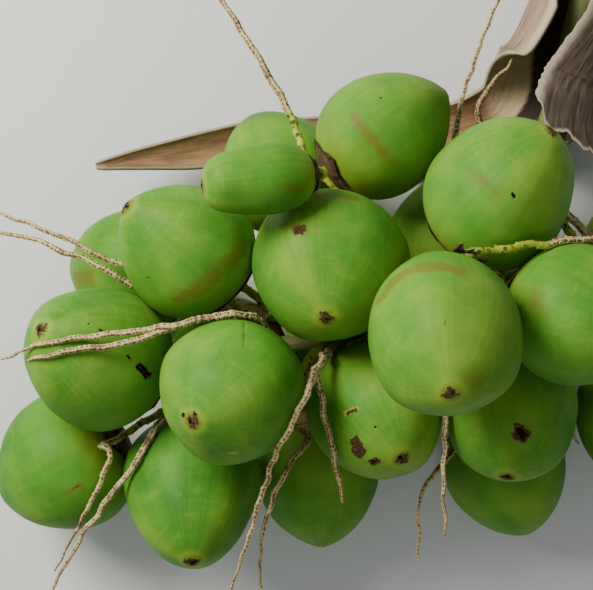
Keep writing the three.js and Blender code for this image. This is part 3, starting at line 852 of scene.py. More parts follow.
@dataclass
class Coconut:
    """One fruit: its direction and sizes, and how to find and make its surface."""

    number: int
    heading: float
    rise: float
    length: float
    girth: float
    spin: float
    foot: float
    via: tuple[Triple, ...] = ()
    blunt: float = 0.0
    shoulder: float = STEM_BREADTH
    stout: float = 1.0
    cap_spread: float = 1.0
    scar: float = 1.0
    cap: CapLook = CapLook.DRYING
    green_for: float = 20.0
    shreds: tuple[float, ...] = ()
    # Each fruit's own tone, which is also painted light on fruit 13 and painted shade on fruit 22.
    tone: float = 0.0
    marks: tuple[Mark, ...] = ()
    centre: np.ndarray = field(default_factory=lambda: np.zeros(3))

    SURFACE_STEPS = 6
    HEIGHT_STEPS = 4

    def __post_init__(self) -> None:
        """Works out the fruit's own directions."""
        heading, rise = math.radians(self.heading), math.radians(self.rise)
        self.axis = np.array([math.cos(heading) * math.cos(rise),
                              math.sin(heading) * math.cos(rise), math.sin(rise)])
        self.level_side = unit(np.cross(UP, self.axis))
        self.other_side = np.cross(self.axis, self.level_side)
        self.start = math.radians(self.spin)

    @property
    def node(self) -> str:
        """The name of the fruit's solid."""
        return f"coconut_{self.number:02d}"

    def find(self, layout: Layout) -> None:
        """Takes the fruit's place from its solid's box.

        Args:
            layout: Where the bunch lies on the part's base.
        """
        polar = np.repeat(np.linspace(0, math.pi, SOLID_RINGS + 1), SOLID_SIDES)
        turn = np.tile(math.pi - np.arange(SOLID_SIDES) * math.tau / SOLID_SIDES, SOLID_RINGS + 1)
        bare = self.surface(polar, turn + self.start, 0.0, SOLID_ALLOWANCE)
        low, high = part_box(self.node)
        middle = (np.array(low) + np.array(high)) / 2 / MM - layout.shift
        self.centre = middle - (bare.min(0) + bare.max(0)) / 2

    def outline(self, polar: float | np.ndarray, waves: float | np.ndarray = 0.0,
                maths: ModuleType = np) -> tuple[float | np.ndarray, float | np.ndarray]:
        """How far out from the axis and along it the rind is.

        Args:
            polar: Angles from the stem end.
            waves: How strongly the ridges stand out there.
            maths: The functions that work them out, for many at once or for one.

        Returns:
            The distances from the axis, and those along it.
        """
        half = (self.length - NIPPLE) / 2
        sine, cosine = abs(maths.sin(polar)), maths.cos(polar)
        shoulder = sine ** 2 * ((abs(cosine) - cosine) / 2) * 2
        swell = sine / maths.hypot(sine, cosine * (1 - self.blunt * (cosine < 0)))
        out = self.girth / 2 / BREADTH_NORM * swell * (1 + self.shoulder * cosine)
        peak = maths.exp(-(((math.pi - polar) / NIPPLE_SPREAD) ** 2))
        ridged = 1 + (RIDGE_MIDDLE + RIDGE_SHOULDER * shoulder) * waves
        return out * ridged, -half * cosine + NIPPLE * (peak - 0.5)

    def waves(self, turn: float | np.ndarray, maths: ModuleType = np) -> float | np.ndarray:
        """How strongly the three soft ridges stand out at angles round the axis."""
        start = turn - self.start
        broad, fine = maths.cos(RIDGES * start), maths.cos(2 * RIDGES * start)
        return RIDGE_SHARE * broad + (1 - RIDGE_SHARE) * fine

    def sideways(self, turn: np.ndarray) -> np.ndarray:
        """The directions square to the axis, at angles round it."""
        return np.cos(turn)[..., None] * self.level_side + np.sin(turn)[..., None] * self.other_side

    def outward(self, polar: np.ndarray, turn: np.ndarray) -> np.ndarray:
        """The direction away from the rind."""
        sides = np.sin(polar)[..., None] * self.sideways(turn)
        return units(sides - (np.cos(polar) * self.girth / self.length)[..., None] * self.axis)

    def surface(self, polar: np.ndarray, turn: np.ndarray, above: np.ndarray | float = 0.0,
                allowance: float = 1.0) -> np.ndarray:
        """Places on the rind, measured from the fruit's middle.

        Args:
            polar: Angles from the stem end.
            turn: Angles round the axis.
            above: How far outside the rind the places are.
            allowance: How much wider than the rind the surface is.

        Returns:
            The places, in millimetres.
        """
        polar, turn = np.broadcast_arrays(np.asarray(polar, float), np.asarray(turn, float))
        out, along = self.outline(polar, self.waves(turn))
        point = along[..., None] * self.axis + (out * allowance)[..., None] * self.sideways(turn)
        return point + self.outward(polar, turn) * np.asarray(above)[..., None]

    def point(self, polar: float, turn: float, above: float) -> np.ndarray:
        """One place on the rind or above it, in the bunch's own frame."""
        return self.surface(np.array(polar), np.array(turn), np.array(above)) + self.centre

    def height_above(self, point: Sequence[float]) -> tuple[float, float]:
        """How far outside the rind a place is, measured from the fruit's middle.

        Args:
            point: The place.

        Returns:
            The height, and the polar angle.
        """
        x, y, z = (point[i] - self.centre[i] for i in range(3))
        far = max(math.sqrt(x * x + y * y + z * z), 1e-9)
        axis, level, other = self.axis, self.level_side, self.other_side
        turn = math.atan2(x * other[0] + y * other[1] + z * other[2],
                          x * level[0] + y * level[1] + z * level[2])
        waves = self.waves(turn, math)
        tipward = (x * axis[0] + y * axis[1] + z * axis[2]) / far
        wanted = math.acos(max(-1.0, min(1.0, -tipward)))
        polar, reach = wanted, 0.0
        for _ in range(self.HEIGHT_STEPS):
            out, along = self.outline(polar, waves, math)
            reach = math.hypot(out, along)
            polar += wanted - math.acos(max(-1.0, min(1.0, -along / reach)))
        return far - reach, polar

    def whereabouts(self, points: np.ndarray) -> tuple[np.ndarray, np.ndarray]:
        """The polar angles and turns of the rind's places that lie behind points, seen from inside.

        Args:
            points: Places, measured from the fruit's middle.

        Returns:
            The angles from the stem end, and those round the axis.
        """
        far = np.linalg.norm(points, axis=1)
        turn = np.arctan2(points @ self.other_side, points @ self.level_side)
        wanted = np.arccos(np.clip(-(points @ self.axis) / far, -1, 1))
        waves = self.waves(turn)
        polar = wanted.copy()
        for _ in range(self.SURFACE_STEPS):
            out, along = self.outline(polar, waves)
            polar = polar + wanted - np.arccos(np.clip(-along / np.hypot(out, along), -1, 1))
        return np.clip(polar, 0, math.pi), turn

    def seen(self, layout: Layout, across: float, up: float) -> np.ndarray | None:
        """Where the eye's line through a place in its view meets the rind, from the fruit's middle.

        Args:
            layout: How the eye sees the bunch.
            across: How far right of the view's middle the place is.
            up: How far above it.

        Returns:
            The place, or None where the line misses the fruit.
        """
        ray = unit(layout.sighted(across, up, 0.0) - layout.eye)
        nearest = float((self.centre - layout.eye) @ ray)
        for step in np.arange(nearest - self.length, nearest, 1.0):
            place = layout.eye + ray * step
            if self.height_above(place)[0] <= 0:
                return place - self.centre
        return None


class FruitMaker:
    """Turns a coconut's sizes and marks into its dressed mesh."""

    SIDES = 96
    # The rings' bands from the stem end, in degrees: where each starts and ends, and its step.
    BANDS = ((5.0, 30.0, 5.0), (30.0, 150.0, 2.6), (150.0, 172.0, 1.3), (172.0, 179.725, 0.55))
    LUMP_LENGTH = 62.0
    LUMP = 0.7
    PATTERN = 100.0
    SCAR_RADIUS = 7.2
    SCAR_EDGE = 2.0
    PIT_RADIUS = 2.6
    PIT_EDGE = 1.6
    HALO_RADIUS = 14.0
    CORK_HEIGHT = 0.55
    CRUMB_HEIGHT = 0.35
    PIT_DEPTH = 1.3
    MARK_STEPS = 12
    MARK_MARGIN = 4.0
    MARK_EDGE = 1.4

    def __init__(self, layout: Layout, rind: bpy.types.Material) -> None:
        """Keeps what all the fruits share.

        Args:
            layout: Where the bunch lies and how the eye sees it.
            rind: The fruits' material.
        """
        self.layout = layout
        self.rind = rind
        self.rings = np.concatenate([
            np.arange(np.radians(first), np.radians(last), np.radians(step))
            for first, last, step in self.BANDS])

    def make(self, fruit: Coconut) -> bpy.types.Object:
        """Makes one fruit's piece.

        Args:
            fruit: The fruit, once its place is found.

        Returns:
            The piece.
        """
        lines = [(mark, self._mark_line(fruit, mark)) for mark in fruit.marks]
        lines = [(mark, line) for mark, line in lines if len(line)]
        coarse, faces = self._ball(fruit, lines)
        polar, turn = fruit.whereabouts(coarse)
        bare = fruit.surface(polar, turn)
        seed = fruit.number * 1.37
        lumps = rough(bare + fruit.number * 500.0, self.LUMP_LENGTH, seed) * self.LUMP
        carried = self._carried(fruit, polar, turn, bare, lines)
        relief = self._relief(carried, bare, fruit)
        placed = fruit.surface(polar, turn, lumps + relief) + fruit.centre
        piece = add_mesh(f"fruit_{fruit.number:02d}", self.layout.metres(placed), faces, carried,
                         self.rind)
        return settle(piece, fruit.node)

    def _ball(self, fruit: Coconut, lines: list[tuple[Mark, np.ndarray]]
              ) -> tuple[np.ndarray, list[tuple[int, ...]]]:
        """A fine ball of rings, finer still round small marks.

        Args:
            fruit: The fruit.
            lines: Its marks and where they lie on it.

        Returns:
            The corners, from the fruit's middle, and the faces.
        """
        sides = self.SIDES
        turns = np.arange(sides) * math.tau / sides
        polar = np.repeat(self.rings, sides)
        ends = fruit.surface(np.array([0.0, math.pi]), np.array([0.0, 0.0]))
        corners = np.vstack([fruit.surface(polar, np.tile(turns, len(self.rings))), ends])
        faces = grid_faces(len(self.rings), sides, True, flipped=True)
        stem, tip = len(corners) - 2, len(corners) - 1
        faces += fan_faces(stem, 0, sides, flipped=True)
        faces += fan_faces(tip, (len(self.rings) - 1) * sides, sides)
        small = [(mark, line) for mark, line in lines if mark.kind in (MarkKind.CORK, MarkKind.SPECK)]
        return self._refined(corners, faces, small) if small else (corners, faces)

    def _refined(self, corners: np.ndarray, faces: list[tuple[int, ...]],
                 small: list[tuple[Mark, np.ndarray]]) -> tuple[np.ndarray, list[tuple[int, ...]]]:
        """Divides the faces round small marks, so that their relief has corners to stand on.

        Args:
            corners: The ball's corners.
            faces: Its faces.
            small: The small marks and where they lie.

        Returns:
            The corners and the faces, more of them near the marks.
        """
        work = bmesh.new()
        made = [work.verts.new(corner) for corner in corners.tolist()]
        for face in faces:
            work.faces.new([made[i] for i in face])
        for mark, line in small:
            reach = mark.size * 1.5 + self.MARK_MARGIN
            near = [face for face in work.faces
                    if np.linalg.norm(line - np.array(face.calc_center_median()), axis=1).min() < reach]
            edges = {edge for face in near for edge in face.edges
                     if edge.calc_length() > self.MARK_EDGE}
            bmesh.ops.subdivide_edges(work, edges=list(edges), cuts=3, use_grid_fill=True)
        wide = [face for face in work.faces if len(face.verts) > 4]
        bmesh.ops.triangulate(work, faces=wide)
        work.verts.index_update()
        result = np.array([vert.co[:] for vert in work.verts])
        again = [tuple(vert.index for vert in face.verts) for face in work.faces]
        work.free()
        return result, again

    def _mark_line(self, fruit: Coconut, mark: Mark) -> np.ndarray:
        """The places of a mark on the rind, from the fruit's middle, close together.

        Args:
            fruit: The fruit.
            mark: The mark.

        Returns:
            The places, none where the eye doesn't meet the fruit.
        """
        seen = [fruit.seen(self.layout, across, up) for across, up in mark.line]
        found = [place for place in seen if place is not None]
        if len(found) < 2:
            return np.array(found)
        shares = np.linspace(0, 1, self.MARK_STEPS, endpoint=False)
        laid = [start + (end - start) * share for start, end in zip(found, found[1:]) for share in shares]
        polar, turn = fruit.whereabouts(np.array([*laid, found[-1]]))
        return fruit.surface(polar, turn)

    def _carried(self, fruit: Coconut, polar: np.ndarray, turn: np.ndarray, bare: np.ndarray,
                 lines: list[tuple[Mark, np.ndarray]]) -> dict[str, np.ndarray]:
        """What the corners tell the rind's material.

        Args:
            fruit: The fruit.
            polar: The corners' angles from the stem end.
            turn: Their angles round the axis.
            bare: The corners themselves, from the fruit's middle.
            lines: The fruit's marks and where they lie on it.

        Returns:
            Values of each corner, by name.
        """
        own = np.stack([bare @ fruit.level_side, bare @ fruit.other_side, bare @ fruit.axis], axis=1)
        around = turn - fruit.start
        from_tip = np.where(polar > math.pi / 2, fruit.outline(polar)[0], fruit.girth)
        ragged = rough(bare, 3.4, fruit.number + 0.5, 3)
        lopsided = np.cos(around + fruit.number * 2.4)
        lobed = 1.1 * np.cos(RIDGES * around)
        lobes = (self.SCAR_RADIUS + lobed + 1.2 * lopsided + 3.8 * ragged) * fruit.scar
        deep = self.PIT_RADIUS + 1.4 * math.sin(fruit.number * 2.7)
        lobed = 1.3 * np.cos(RIDGES * around + 2.0)
        hole = (deep + lobed - 1.4 * lopsided - 3.2 * ragged) * fruit.scar
        carried = {
            "own": own / self.PATTERN + fruit.number * 7.3,
            "round_tip": np.stack([np.cos(turn) + fruit.number, np.sin(turn), polar / math.pi], axis=1),
            "polar": polar / math.pi,
            "ridge": 0.5 + 0.5 * np.cos(RIDGES * around),
            "tone": np.full(len(polar), fruit.tone),
            "halo": np.exp(-(from_tip / self.HALO_RADIUS) ** 2),
            "cork": eased(from_tip, lobes, lobes - self.SCAR_EDGE) * 0.9,
            "pit": eased(from_tip, hole, hole - self.PIT_EDGE),
            "bruise": np.zeros(len(polar)),
            "pale": np.zeros(len(polar)),
        }
        for mark, line in lines:
            far = np.sqrt(((bare[:, None, :] - line[None, :, :]) ** 2).sum(2)).min(1)
            far = far + rough(bare, mark.size * 0.6 + 1.5, fruit.number + mark.size, 3) * mark.size * 0.45
            # Cork covers its place whole. Its strength tells only how dark and deep its pit is.
            for layer, outer, inner in mark.kind.value:
                mask = eased(far, mark.size * outer, mark.size * inner)
                strength = 1.0 if layer == "cork" else mark.strength
                carried[layer] = np.maximum(carried[layer], mask * strength)
        return carried

    def _relief(self, carried: dict[str, np.ndarray], bare: np.ndarray, fruit: Coconut) -> np.ndarray:
        """How far scars stand above the rind, and their pits below it."""
        crumbs = rough(bare, 2.2, fruit.number + 0.9) * carried["cork"]
        raised = self.CORK_HEIGHT * carried["cork"] + self.CRUMB_HEIGHT * crumbs
        return raised - self.PIT_DEPTH * carried["pit"]


class Grower:
    """A node tree with named inputs that grows geometry, and how a plain mesh comes of it."""

    def __init__(self, name: str) -> None:
        """Starts a tree that takes and gives one geometry.

        Args:
            name: The tree's name.
        """
        self.tree = bpy.data.node_groups.new(name, "GeometryNodeTree")
        self.bench = Bench(self.tree)
        self.identifiers: dict[str, str] = {}
        self.named("Geometry", "NodeSocketGeometry")
        self.tree.interface.new_socket("Geometry", in_out="OUTPUT", socket_type="NodeSocketGeometry")
        self.given = self.bench.node("NodeGroupInput")

    def named(self, name: str, kind: str) -> None:
        """Adds a named input."""
        made = self.tree.interface.new_socket(name, in_out="INPUT", socket_type=kind)
        self.identifiers[name] = made.identifier

    def value(self, name: str) -> Signal:
        """A named input as a value."""
        return Signal(self.bench, self.given.outputs[name])

    def carried(self, name: str) -> Signal:
        """A number that the points carry."""
        return self.bench.signal("GeometryNodeInputNamedAttribute", {"data_type": "FLOAT"},
                                 {"Name": name}, "Attribute")

    def stored(self, geometry: bpy.types.NodeSocket, name: str, value: object) -> bpy.types.NodeSocket:
        """A geometry whose points carry one more number."""
        return self.bench.output(
            "GeometryNodeStoreNamedAttribute", {"data_type": "FLOAT", "domain": "POINT"},
            {"Geometry": geometry, "Name": name, "Value": value})

    def moved(self, geometry: bpy.types.NodeSocket, offset: object) -> bpy.types.NodeSocket:
        """A geometry whose points are moved."""
        return self.bench.output("GeometryNodeSetPosition", None,
                                 {"Geometry": geometry, "Offset": offset})

    def end(self, *geometries: bpy.types.NodeSocket) -> None:
        """Joins what was grown, makes it real, and gives it its material.

        Args:
            geometries: What was grown.
        """
        whole = self.bench.node("GeometryNodeJoinGeometry")
        for geometry in geometries:
            self.bench.feed(whole.inputs[0], geometry)
        real = self.bench.output("GeometryNodeRealizeInstances", None, {"Geometry": whole.outputs[0]})
        dressed = self.bench.output("GeometryNodeSetMaterial", None, {
            "Geometry": real, "Material": self.given.outputs["Material"]})
        self.bench.node("NodeGroupOutput", None, {"Geometry": dressed})

    def grown(self, name: str, seed: bpy.types.Object, values: dict[str, object]) -> bpy.types.Object:
        """Grows the tree on an object and keeps the result as a plain mesh.

        Args:
            name: The new object's name.
            seed: The object that it grows on, which is used up.
            values: The named inputs' values.

        Returns:
            The new object.
        """
        modifier = seed.modifiers.new("grown", "NODES")
        modifier.node_group = self.tree
        for key, value in values.items():
            modifier[self.identifiers[key]] = value
        depsgraph = bpy.context.evaluated_depsgraph_get()
        mesh = bpy.data.meshes.new_from_object(
            seed.evaluated_get(depsgraph), preserve_all_data_layers=True, depsgraph=depsgraph)
        bpy.data.objects.remove(seed)
        mesh.name = name
        mesh.shade_smooth()
        return linked(name, mesh)


class TwigGrower(Grower):
    """Grows a line into a knobbly spikelet with the scars of its flowers."""

    GOLDEN_ANGLE = 2.39996
    SWELL_SCALE = 140.0
    SWELL_LOW = 0.82
    SWELL_RANGE = 0.36
    SWELL_TWIST = 9.0
    KNURL_CONTRAST = 1.6

    def __init__(self) -> None:
        """Builds the tree."""
        super().__init__("knobbly_twig")
        for name in ("Step", "Knurl", "Knurl Length", "Scar Spacing", "Scar Size", "Seed"):
            self.named(name, "NodeSocketFloat")
        self.named("Sides", "NodeSocketInt")
        self.named("Scar", "NodeSocketObject")
        self.named("Material", "NodeSocketMaterial")
        line = self._even_line()
        self.end(self._limb(line), self._scars(line))

    def _even_line(self) -> bpy.types.NodeSocket:
        """The line, evenly divided, whose points know how far along they are.

        Returns:
            The line's socket.
        """
        bench = self.bench
        curve = bench.output("GeometryNodeMeshToCurve", None, {"Mesh": self.given.outputs["Geometry"]})
        even = bench.output("GeometryNodeResampleCurve", {"mode": "LENGTH"},
                            {"Curve": curve, "Length": self.value("Step")})
        length = bench.output("GeometryNodeSplineParameter", which="Length")
        return self.stored(even, "way", length)

    def _limb(self, line: bpy.types.NodeSocket) -> bpy.types.NodeSocket:
        """The spikelet itself, with low scales that wind round it.

        Args:
            line: The evenly divided line.

        Returns:
            The socket of its skin.
        """
        bench = self.bench
        circle = bench.output("GeometryNodeCurvePrimitiveCircle", {"mode": "RADIUS"},
                              {"Resolution": self.value("Sides"), "Radius": 1.0})
        index = bench.signal("GeometryNodeInputIndex")
        profile = self.stored(circle, "around", index / self.value("Sides"))
        place = bench.output("GeometryNodeInputPosition")
        swell = bench.noise(bench.vector("ADD", place, self.value("Seed")), self.SWELL_SCALE, 1.0)
        limb = bench.output("GeometryNodeCurveToMesh", None, {
            "Curve": line, "Profile Curve": profile, "Fill Caps": True,
            "Scale": self.carried("thick") * (self.SWELL_LOW + self.SWELL_RANGE * swell)})
        turn = self.carried("around") * math.tau
        way = self.carried("way") / self.value("Knurl Length") * math.tau + swell * self.SWELL_TWIST
        knurl = (2.0 * turn + way).cosine() * (2.0 * turn - way).cosine() * self.KNURL_CONTRAST
        marked = self.stored(limb, "knurl", knurl)
        corky = (self.carried("dry") * 0.7 + 0.3) * self.value("Knurl")
        height = self.carried("knurl") * self.carried("thick") * corky
        return self.moved(marked, bench.scaled(bench.output("GeometryNodeInputNormal"), height))

    def _scars(self, line: bpy.types.NodeSocket) -> bpy.types.NodeSocket:
        """The flowers' scars, wound round the spikelet.

        Args:
            line: The evenly divided line.

        Returns:
            The socket of the repeated scars.
        """
        bench = self.bench
        points = bench.node("GeometryNodeCurveToPoints", {"mode": "LENGTH"},
                            {"Curve": line, "Length": self.value("Scar Spacing")})
        index = bench.signal("GeometryNodeInputIndex")
        outward = bench.output("ShaderNodeVectorRotate", {"rotation_type": "AXIS_ANGLE"}, {
            "Vector": points.outputs["Normal"], "Axis": points.outputs["Tangent"],
            "Angle": index * self.GOLDEN_ANGLE + self.value("Seed")})
        thick = self.carried("thick")
        placed = self.moved(points.outputs["Points"], bench.scaled(outward, thick * 0.98))
        scar = bench.output("GeometryNodeObjectInfo", None, {"Object": self.value("Scar")}, "Geometry")
        facing = bench.output("FunctionNodeAlignRotationToVector", {"axis": "Z"}, {"Vector": outward})
        size = bench.output("ShaderNodeCombineXYZ", None, dict.fromkeys("XYZ", 1.0))
        return bench.output("GeometryNodeInstanceOnPoints", None, {
            "Points": placed, "Instance": scar, "Rotation": facing,
            "Scale": bench.scaled(size, thick * self.value("Scar Size"))})


@dataclass(frozen=True)
class FlowerScar:
    """One flower's scar: a low rim round a dark pit, whose dark is partly its own and partly painted
    shade. It has few faces, because it repeats.
    """

    sides: int = 6
    profile: tuple[tuple[float, float, float], ...] = (
        (1.45, -0.6, 0.0), (1.12, 0.3, 0.0), (0.86, 0.44, 0.1), (0.55, 0.08, 1.0))

    def make(self) -> bpy.types.Object:
        """Makes the scar once, for the spikelets to repeat.

        Returns:
            The scar, which isn't rendered itself.
        """
        turns = np.arange(self.sides) * math.tau / self.sides
        corners, pit = [], []
        for radius, height, dark in self.profile:
            corners += [(radius * math.cos(t), radius * math.sin(t), height) for t in turns]
            pit += [dark] * self.sides
        corners.append((0.0, 0.0, self.profile[-1][1]))
        pit.append(1.0)
        faces = grid_faces(len(self.profile), self.sides, True)
        faces += fan_faces(len(corners) - 1, len(corners) - 1 - self.sides, self.sides)
        made = add_mesh("flower_scar", np.array(corners), faces, {"pit": np.array(pit)})
        made.hide_render = True
        return made


@dataclass(frozen=True)
class Tail:
    """The part of a spikelet that shows from the front, and its fork where it has one."""

    points: tuple[Triple, ...]
    fork_from: int = 0
    fork: tuple[Triple, ...] = ()


class MainStalk:
    """The stalk through the middle of the bunch, from its cut end to its tip among the fruits."""

    STAGES: tuple[tuple[Triple, float], ...] = (
        ((352, 415, 62), 21.0), ((331, 320, 80), 19.0), ((296, 205, 109), 18.0),
        ((245, 90, 142), 17.0), ((160, 2, 167), 14.5), ((62, -34, 174), 11.5),
        ((-35, -58, 171), 9.0), ((-98, -52, 167), 6.0))
    SAMPLES = 41
    RINGS = 190
    SIDES = 56
    CUT_RINGS = (0.93, 0.72, 0.48, 0.24)
    CUT_DEPTH = 0.8
    FLUTES = ((0.012, 11, 9), (0.008, 17, 0))
    SKIN_LENGTH = 60.0
    SWELL = 0.13
    SWELL_LENGTH = 11
    SWELL_REACH = 30

    def __init__(self) -> None:
        """Lays the stalk's line."""
        places = np.array([stage[0] for stage in self.STAGES], float)
        self.line = SmoothLine(places)
        passed = travelled(places)
        self.shares = passed / passed[-1]
        self.radii = [stage[1] for stage in self.STAGES]

    def at(self, share: float) -> np.ndarray:
        """The stalk's middle at a share of its length."""
        return self.line.at(self.line.time_at(share))

    def along(self, share: float) -> np.ndarray:
        """The stalk's direction at a share of its length."""
        return self.line.along(self.line.time_at(share))

    def radius(self, share: float) -> float:
        """The stalk's radius at a share of its length."""
        return float(np.interp(share, self.shares, self.radii))

    def samples(self) -> list[tuple[np.ndarray, float]]:
        """Places and radii that spikelets keep away from."""
        shares = np.linspace(0, 1, self.SAMPLES)
        return [(self.at(share), self.radius(share)) for share in shares]

    def foot(self, share: float, towards: np.ndarray) -> tuple[np.ndarray, np.ndarray]:
        """Where a spikelet leaves the stalk, on the side that faces a point.

        Args:
            share: How far along the stalk it is.
            towards: The point that it faces.

        Returns:
            The place, and the direction out of the stalk.
        """
        middle, along = self.at(share), self.along(share)
        away = towards - middle
        outward = unit(away - along * (away @ along))
        return middle + outward * (self.radius(share) + FOOT_GAP), outward

    def make(self, layout: Layout, material: bpy.types.Material,
             feet: Sequence[tuple[float, np.ndarray]]) -> bpy.types.Object:
        """Makes the stalk's piece.

        Args:
            layout: Where the bunch lies.
            material: Its finish.
            feet: Where spikelets leave it: the share and the direction.

        Returns:
            The piece.
        """
        turns = np.arange(self.SIDES) * math.tau / self.SIDES
        first, direction = self.at(0.0), self.along(0.0)
        side = unit(np.cross(direction, UP))
        corners, skin, cut = [], [], []
        for scale in (0.0, *reversed(self.CUT_RINGS)):
            dent = direction * (1 - scale) * self.CUT_DEPTH
            other = np.cross(direction, side)
            for turn in turns if scale else turns[:1]:
                out = (side * math.cos(turn) + other * math.sin(turn)) * scale * self.radii[0]
                corners.append(first + out + dent)
                skin.append((scale * math.cos(turn), scale * math.sin(turn), 0.0))
                cut.append(1.0)
        for share in np.linspace(0, 1, self.RINGS):
            middle, along = self.at(share), self.along(share)
            side = unit(side - along * (side @ along))
            other = np.cross(along, side)
            for turn in turns:
                out = side * math.cos(turn) + other * math.sin(turn)
                radius = self.radius(share) * self._swelling(share, out, feet)
                radius *= sum((high * math.cos(count * turn + share * twist)
                               for high, count, twist in self.FLUTES), 1)
                corners.append(middle + out * radius)
                skin.append((math.cos(turn), math.sin(turn), share * self.line.length / self.SKIN_LENGTH))
                cut.append(1.0 if share == 0 else 0.0)
        corners.append(self.at(1.0) + self.along(1.0))
        skin.append((0.0, 0.0, 9.0))
        cut.append(0.0)
        faces = fan_faces(0, 1, self.SIDES)
        faces += grid_faces(len(self.CUT_RINGS) + self.RINGS, self.SIDES, True, start=1)
        faces += fan_faces(len(corners) - 1, len(corners) - 1 - self.SIDES, self.SIDES)
        piece = add_mesh("main_stalk_skin", layout.metres(np.array(corners)), faces,
                         {"skin": np.array(skin), "cut": np.array(cut)}, material)
        face_outward(piece)
        return settle(piece, "main_stalk")

    def _swelling(self, share: float, out: np.ndarray,
                  feet: Sequence[tuple[float, np.ndarray]]) -> float:
        """How much the stalk swells towards the spikelets that leave it near a place.

        Args:
            share: The place's share of the stalk's length.
            out: The way from the stalk's middle to the place.
            feet: Where each spikelet leaves the stalk, and which way.

        Returns:
            The factor on the stalk's radius.
        """
        swollen = 1.0
        for foot, outward in feet:
            apart = (share - foot) * self.line.length
            if abs(apart) < self.SWELL_REACH:
                near = math.exp(-(apart / self.SWELL_LENGTH) ** 2)
                swollen += self.SWELL * near * max(0.0, float(out @ outward)) ** 3
        return swollen


@dataclass(frozen=True)
class Sheath:
    """A dry sheet that is curved round a keel line."""

    keel: SmoothLine
    thickness: float
    node: str

    @classmethod
    def laid(cls, thickness: float, node: str) -> "Sheath":
        """The sheath that stands for a solid, with its keel through its stages."""
        return cls(SmoothLine([stage[0] for stage in cls.STAGES]), thickness, node)

    def round_keel(self, share: np.ndarray, radius: np.ndarray, turn: np.ndarray,
                   reach: np.ndarray) -> np.ndarray:
        """Places that far along the keel, that far round from it, and that far out.

        Args:
            share: How far along the keel they are.
            radius: The radius of the sheet's curve there.
            turn: The angle from the keel.
            reach: How far they are from the curve's middle.

        Returns:
            The places.
        """
        along = self.keel.along(share)
        across = units(np.cross(UP, along))
        upward = np.cross(along, across)
        rise = np.asarray(radius - reach * np.cos(turn))[..., None]
        return self.keel.at(share) + upward * rise + across * np.asarray(reach * np.sin(turn))[..., None]

    def at(self, share: np.ndarray, side: np.ndarray, depth: float) -> np.ndarray:
        """Places of the sheet: along it, across it from -1 to 1, and through it from 0 to 1."""
        raise NotImplementedError

    def lines(self, steps: int, around: int) -> list[list[tuple[np.ndarray, float]]]:
        """Lines along the sheet that spikelets keep away from."""
        return [[(self.at(i / steps, k / around * 2 - 1, 0.5), SHEET_ROOM) for i in range(steps + 1)]
                for k in range(around + 1)]


@dataclass(frozen=True)
class Spathe(Sheath):
    """The woody sheath that once held the flowers: a long trough with a pale rim and a sharp tip."""

    STAGES = (
        ((347, 400, 42.5), 44.0, 112.0), ((329, 332, 31), 57.0, 148.0), ((302, 258, 15), 69.0, 140.0),
        ((250, 207, 9), 56.0, 60.0), ((176, 184, 6), 56.0, 46.0), ((96, 186, 4.5), 54.0, 35.0),
        ((10, 188, 4), 46.0, 33.0), ((-62, 182, 12), 35.0, 43.0), ((-128, 169, 36), 26.0, 46.0),
        ((-188, 159, 58), 14.0, 46.0), ((-233, 150, 76), 3.5, 46.0))

    def at(self, share: np.ndarray, side: np.ndarray, depth: float) -> np.ndarray:
        """Places of the spathe.

        Args:
            share: Shares of its length, from its foot.
            side: Places across it, from -1 to 1.
            depth: Its skin, 0 for the outer and 1 for the inner.

        Returns:
            The places.
        """
        radius = staged([stage[1] for stage in self.STAGES], share)
        wrap = np.radians(staged([stage[2] for stage in self.STAGES], share))
        reach = radius + (1 - depth) * np.minimum(self.thickness, radius * 0.6)
        return self.round_keel(share, radius, side * wrap, reach)


@dataclass(frozen=True)
class OuterBract(Sheath):
    """The torn sheet that wraps the spathe's foot once more."""

    STAGES = (
        ((347, 400, 38.5), 49.0, -30.0, 176.0), ((329, 332, 23.5), 66.0, -22.0, 186.0),
        ((302, 258, 8), 81.0, 12.0, 200.0), ((293, 186, 8), 80.0, 26.0, 206.0),
        ((298, 112, 10), 82.0, 30.0, 206.0))
    NEAR_END = 0.7

    def at(self, share: np.ndarray, side: np.ndarray, depth: float) -> np.ndarray:
        """Places of the bract, whose torn end runs further down on the far side.

        Args:
            share: Shares of its length, from its foot.
            side: Places across it, from -1 to 1.
            depth: Its skin, 0 for the outer and 1 for the inner.

        Returns:
            The places.
        """
        far_side = np.maximum(0.0, np.cos(side * math.pi / 2))
        place = share * (self.NEAR_END + (1 - self.NEAR_END) * far_side)
        radius, low, high = (staged([stage[i] for stage in self.STAGES], place) for i in (1, 2, 3))
        turn = np.radians(low + (high - low) * (side + 1) / 2)
        return self.round_keel(place, radius, turn, radius + (1 - depth) * self.thickness)


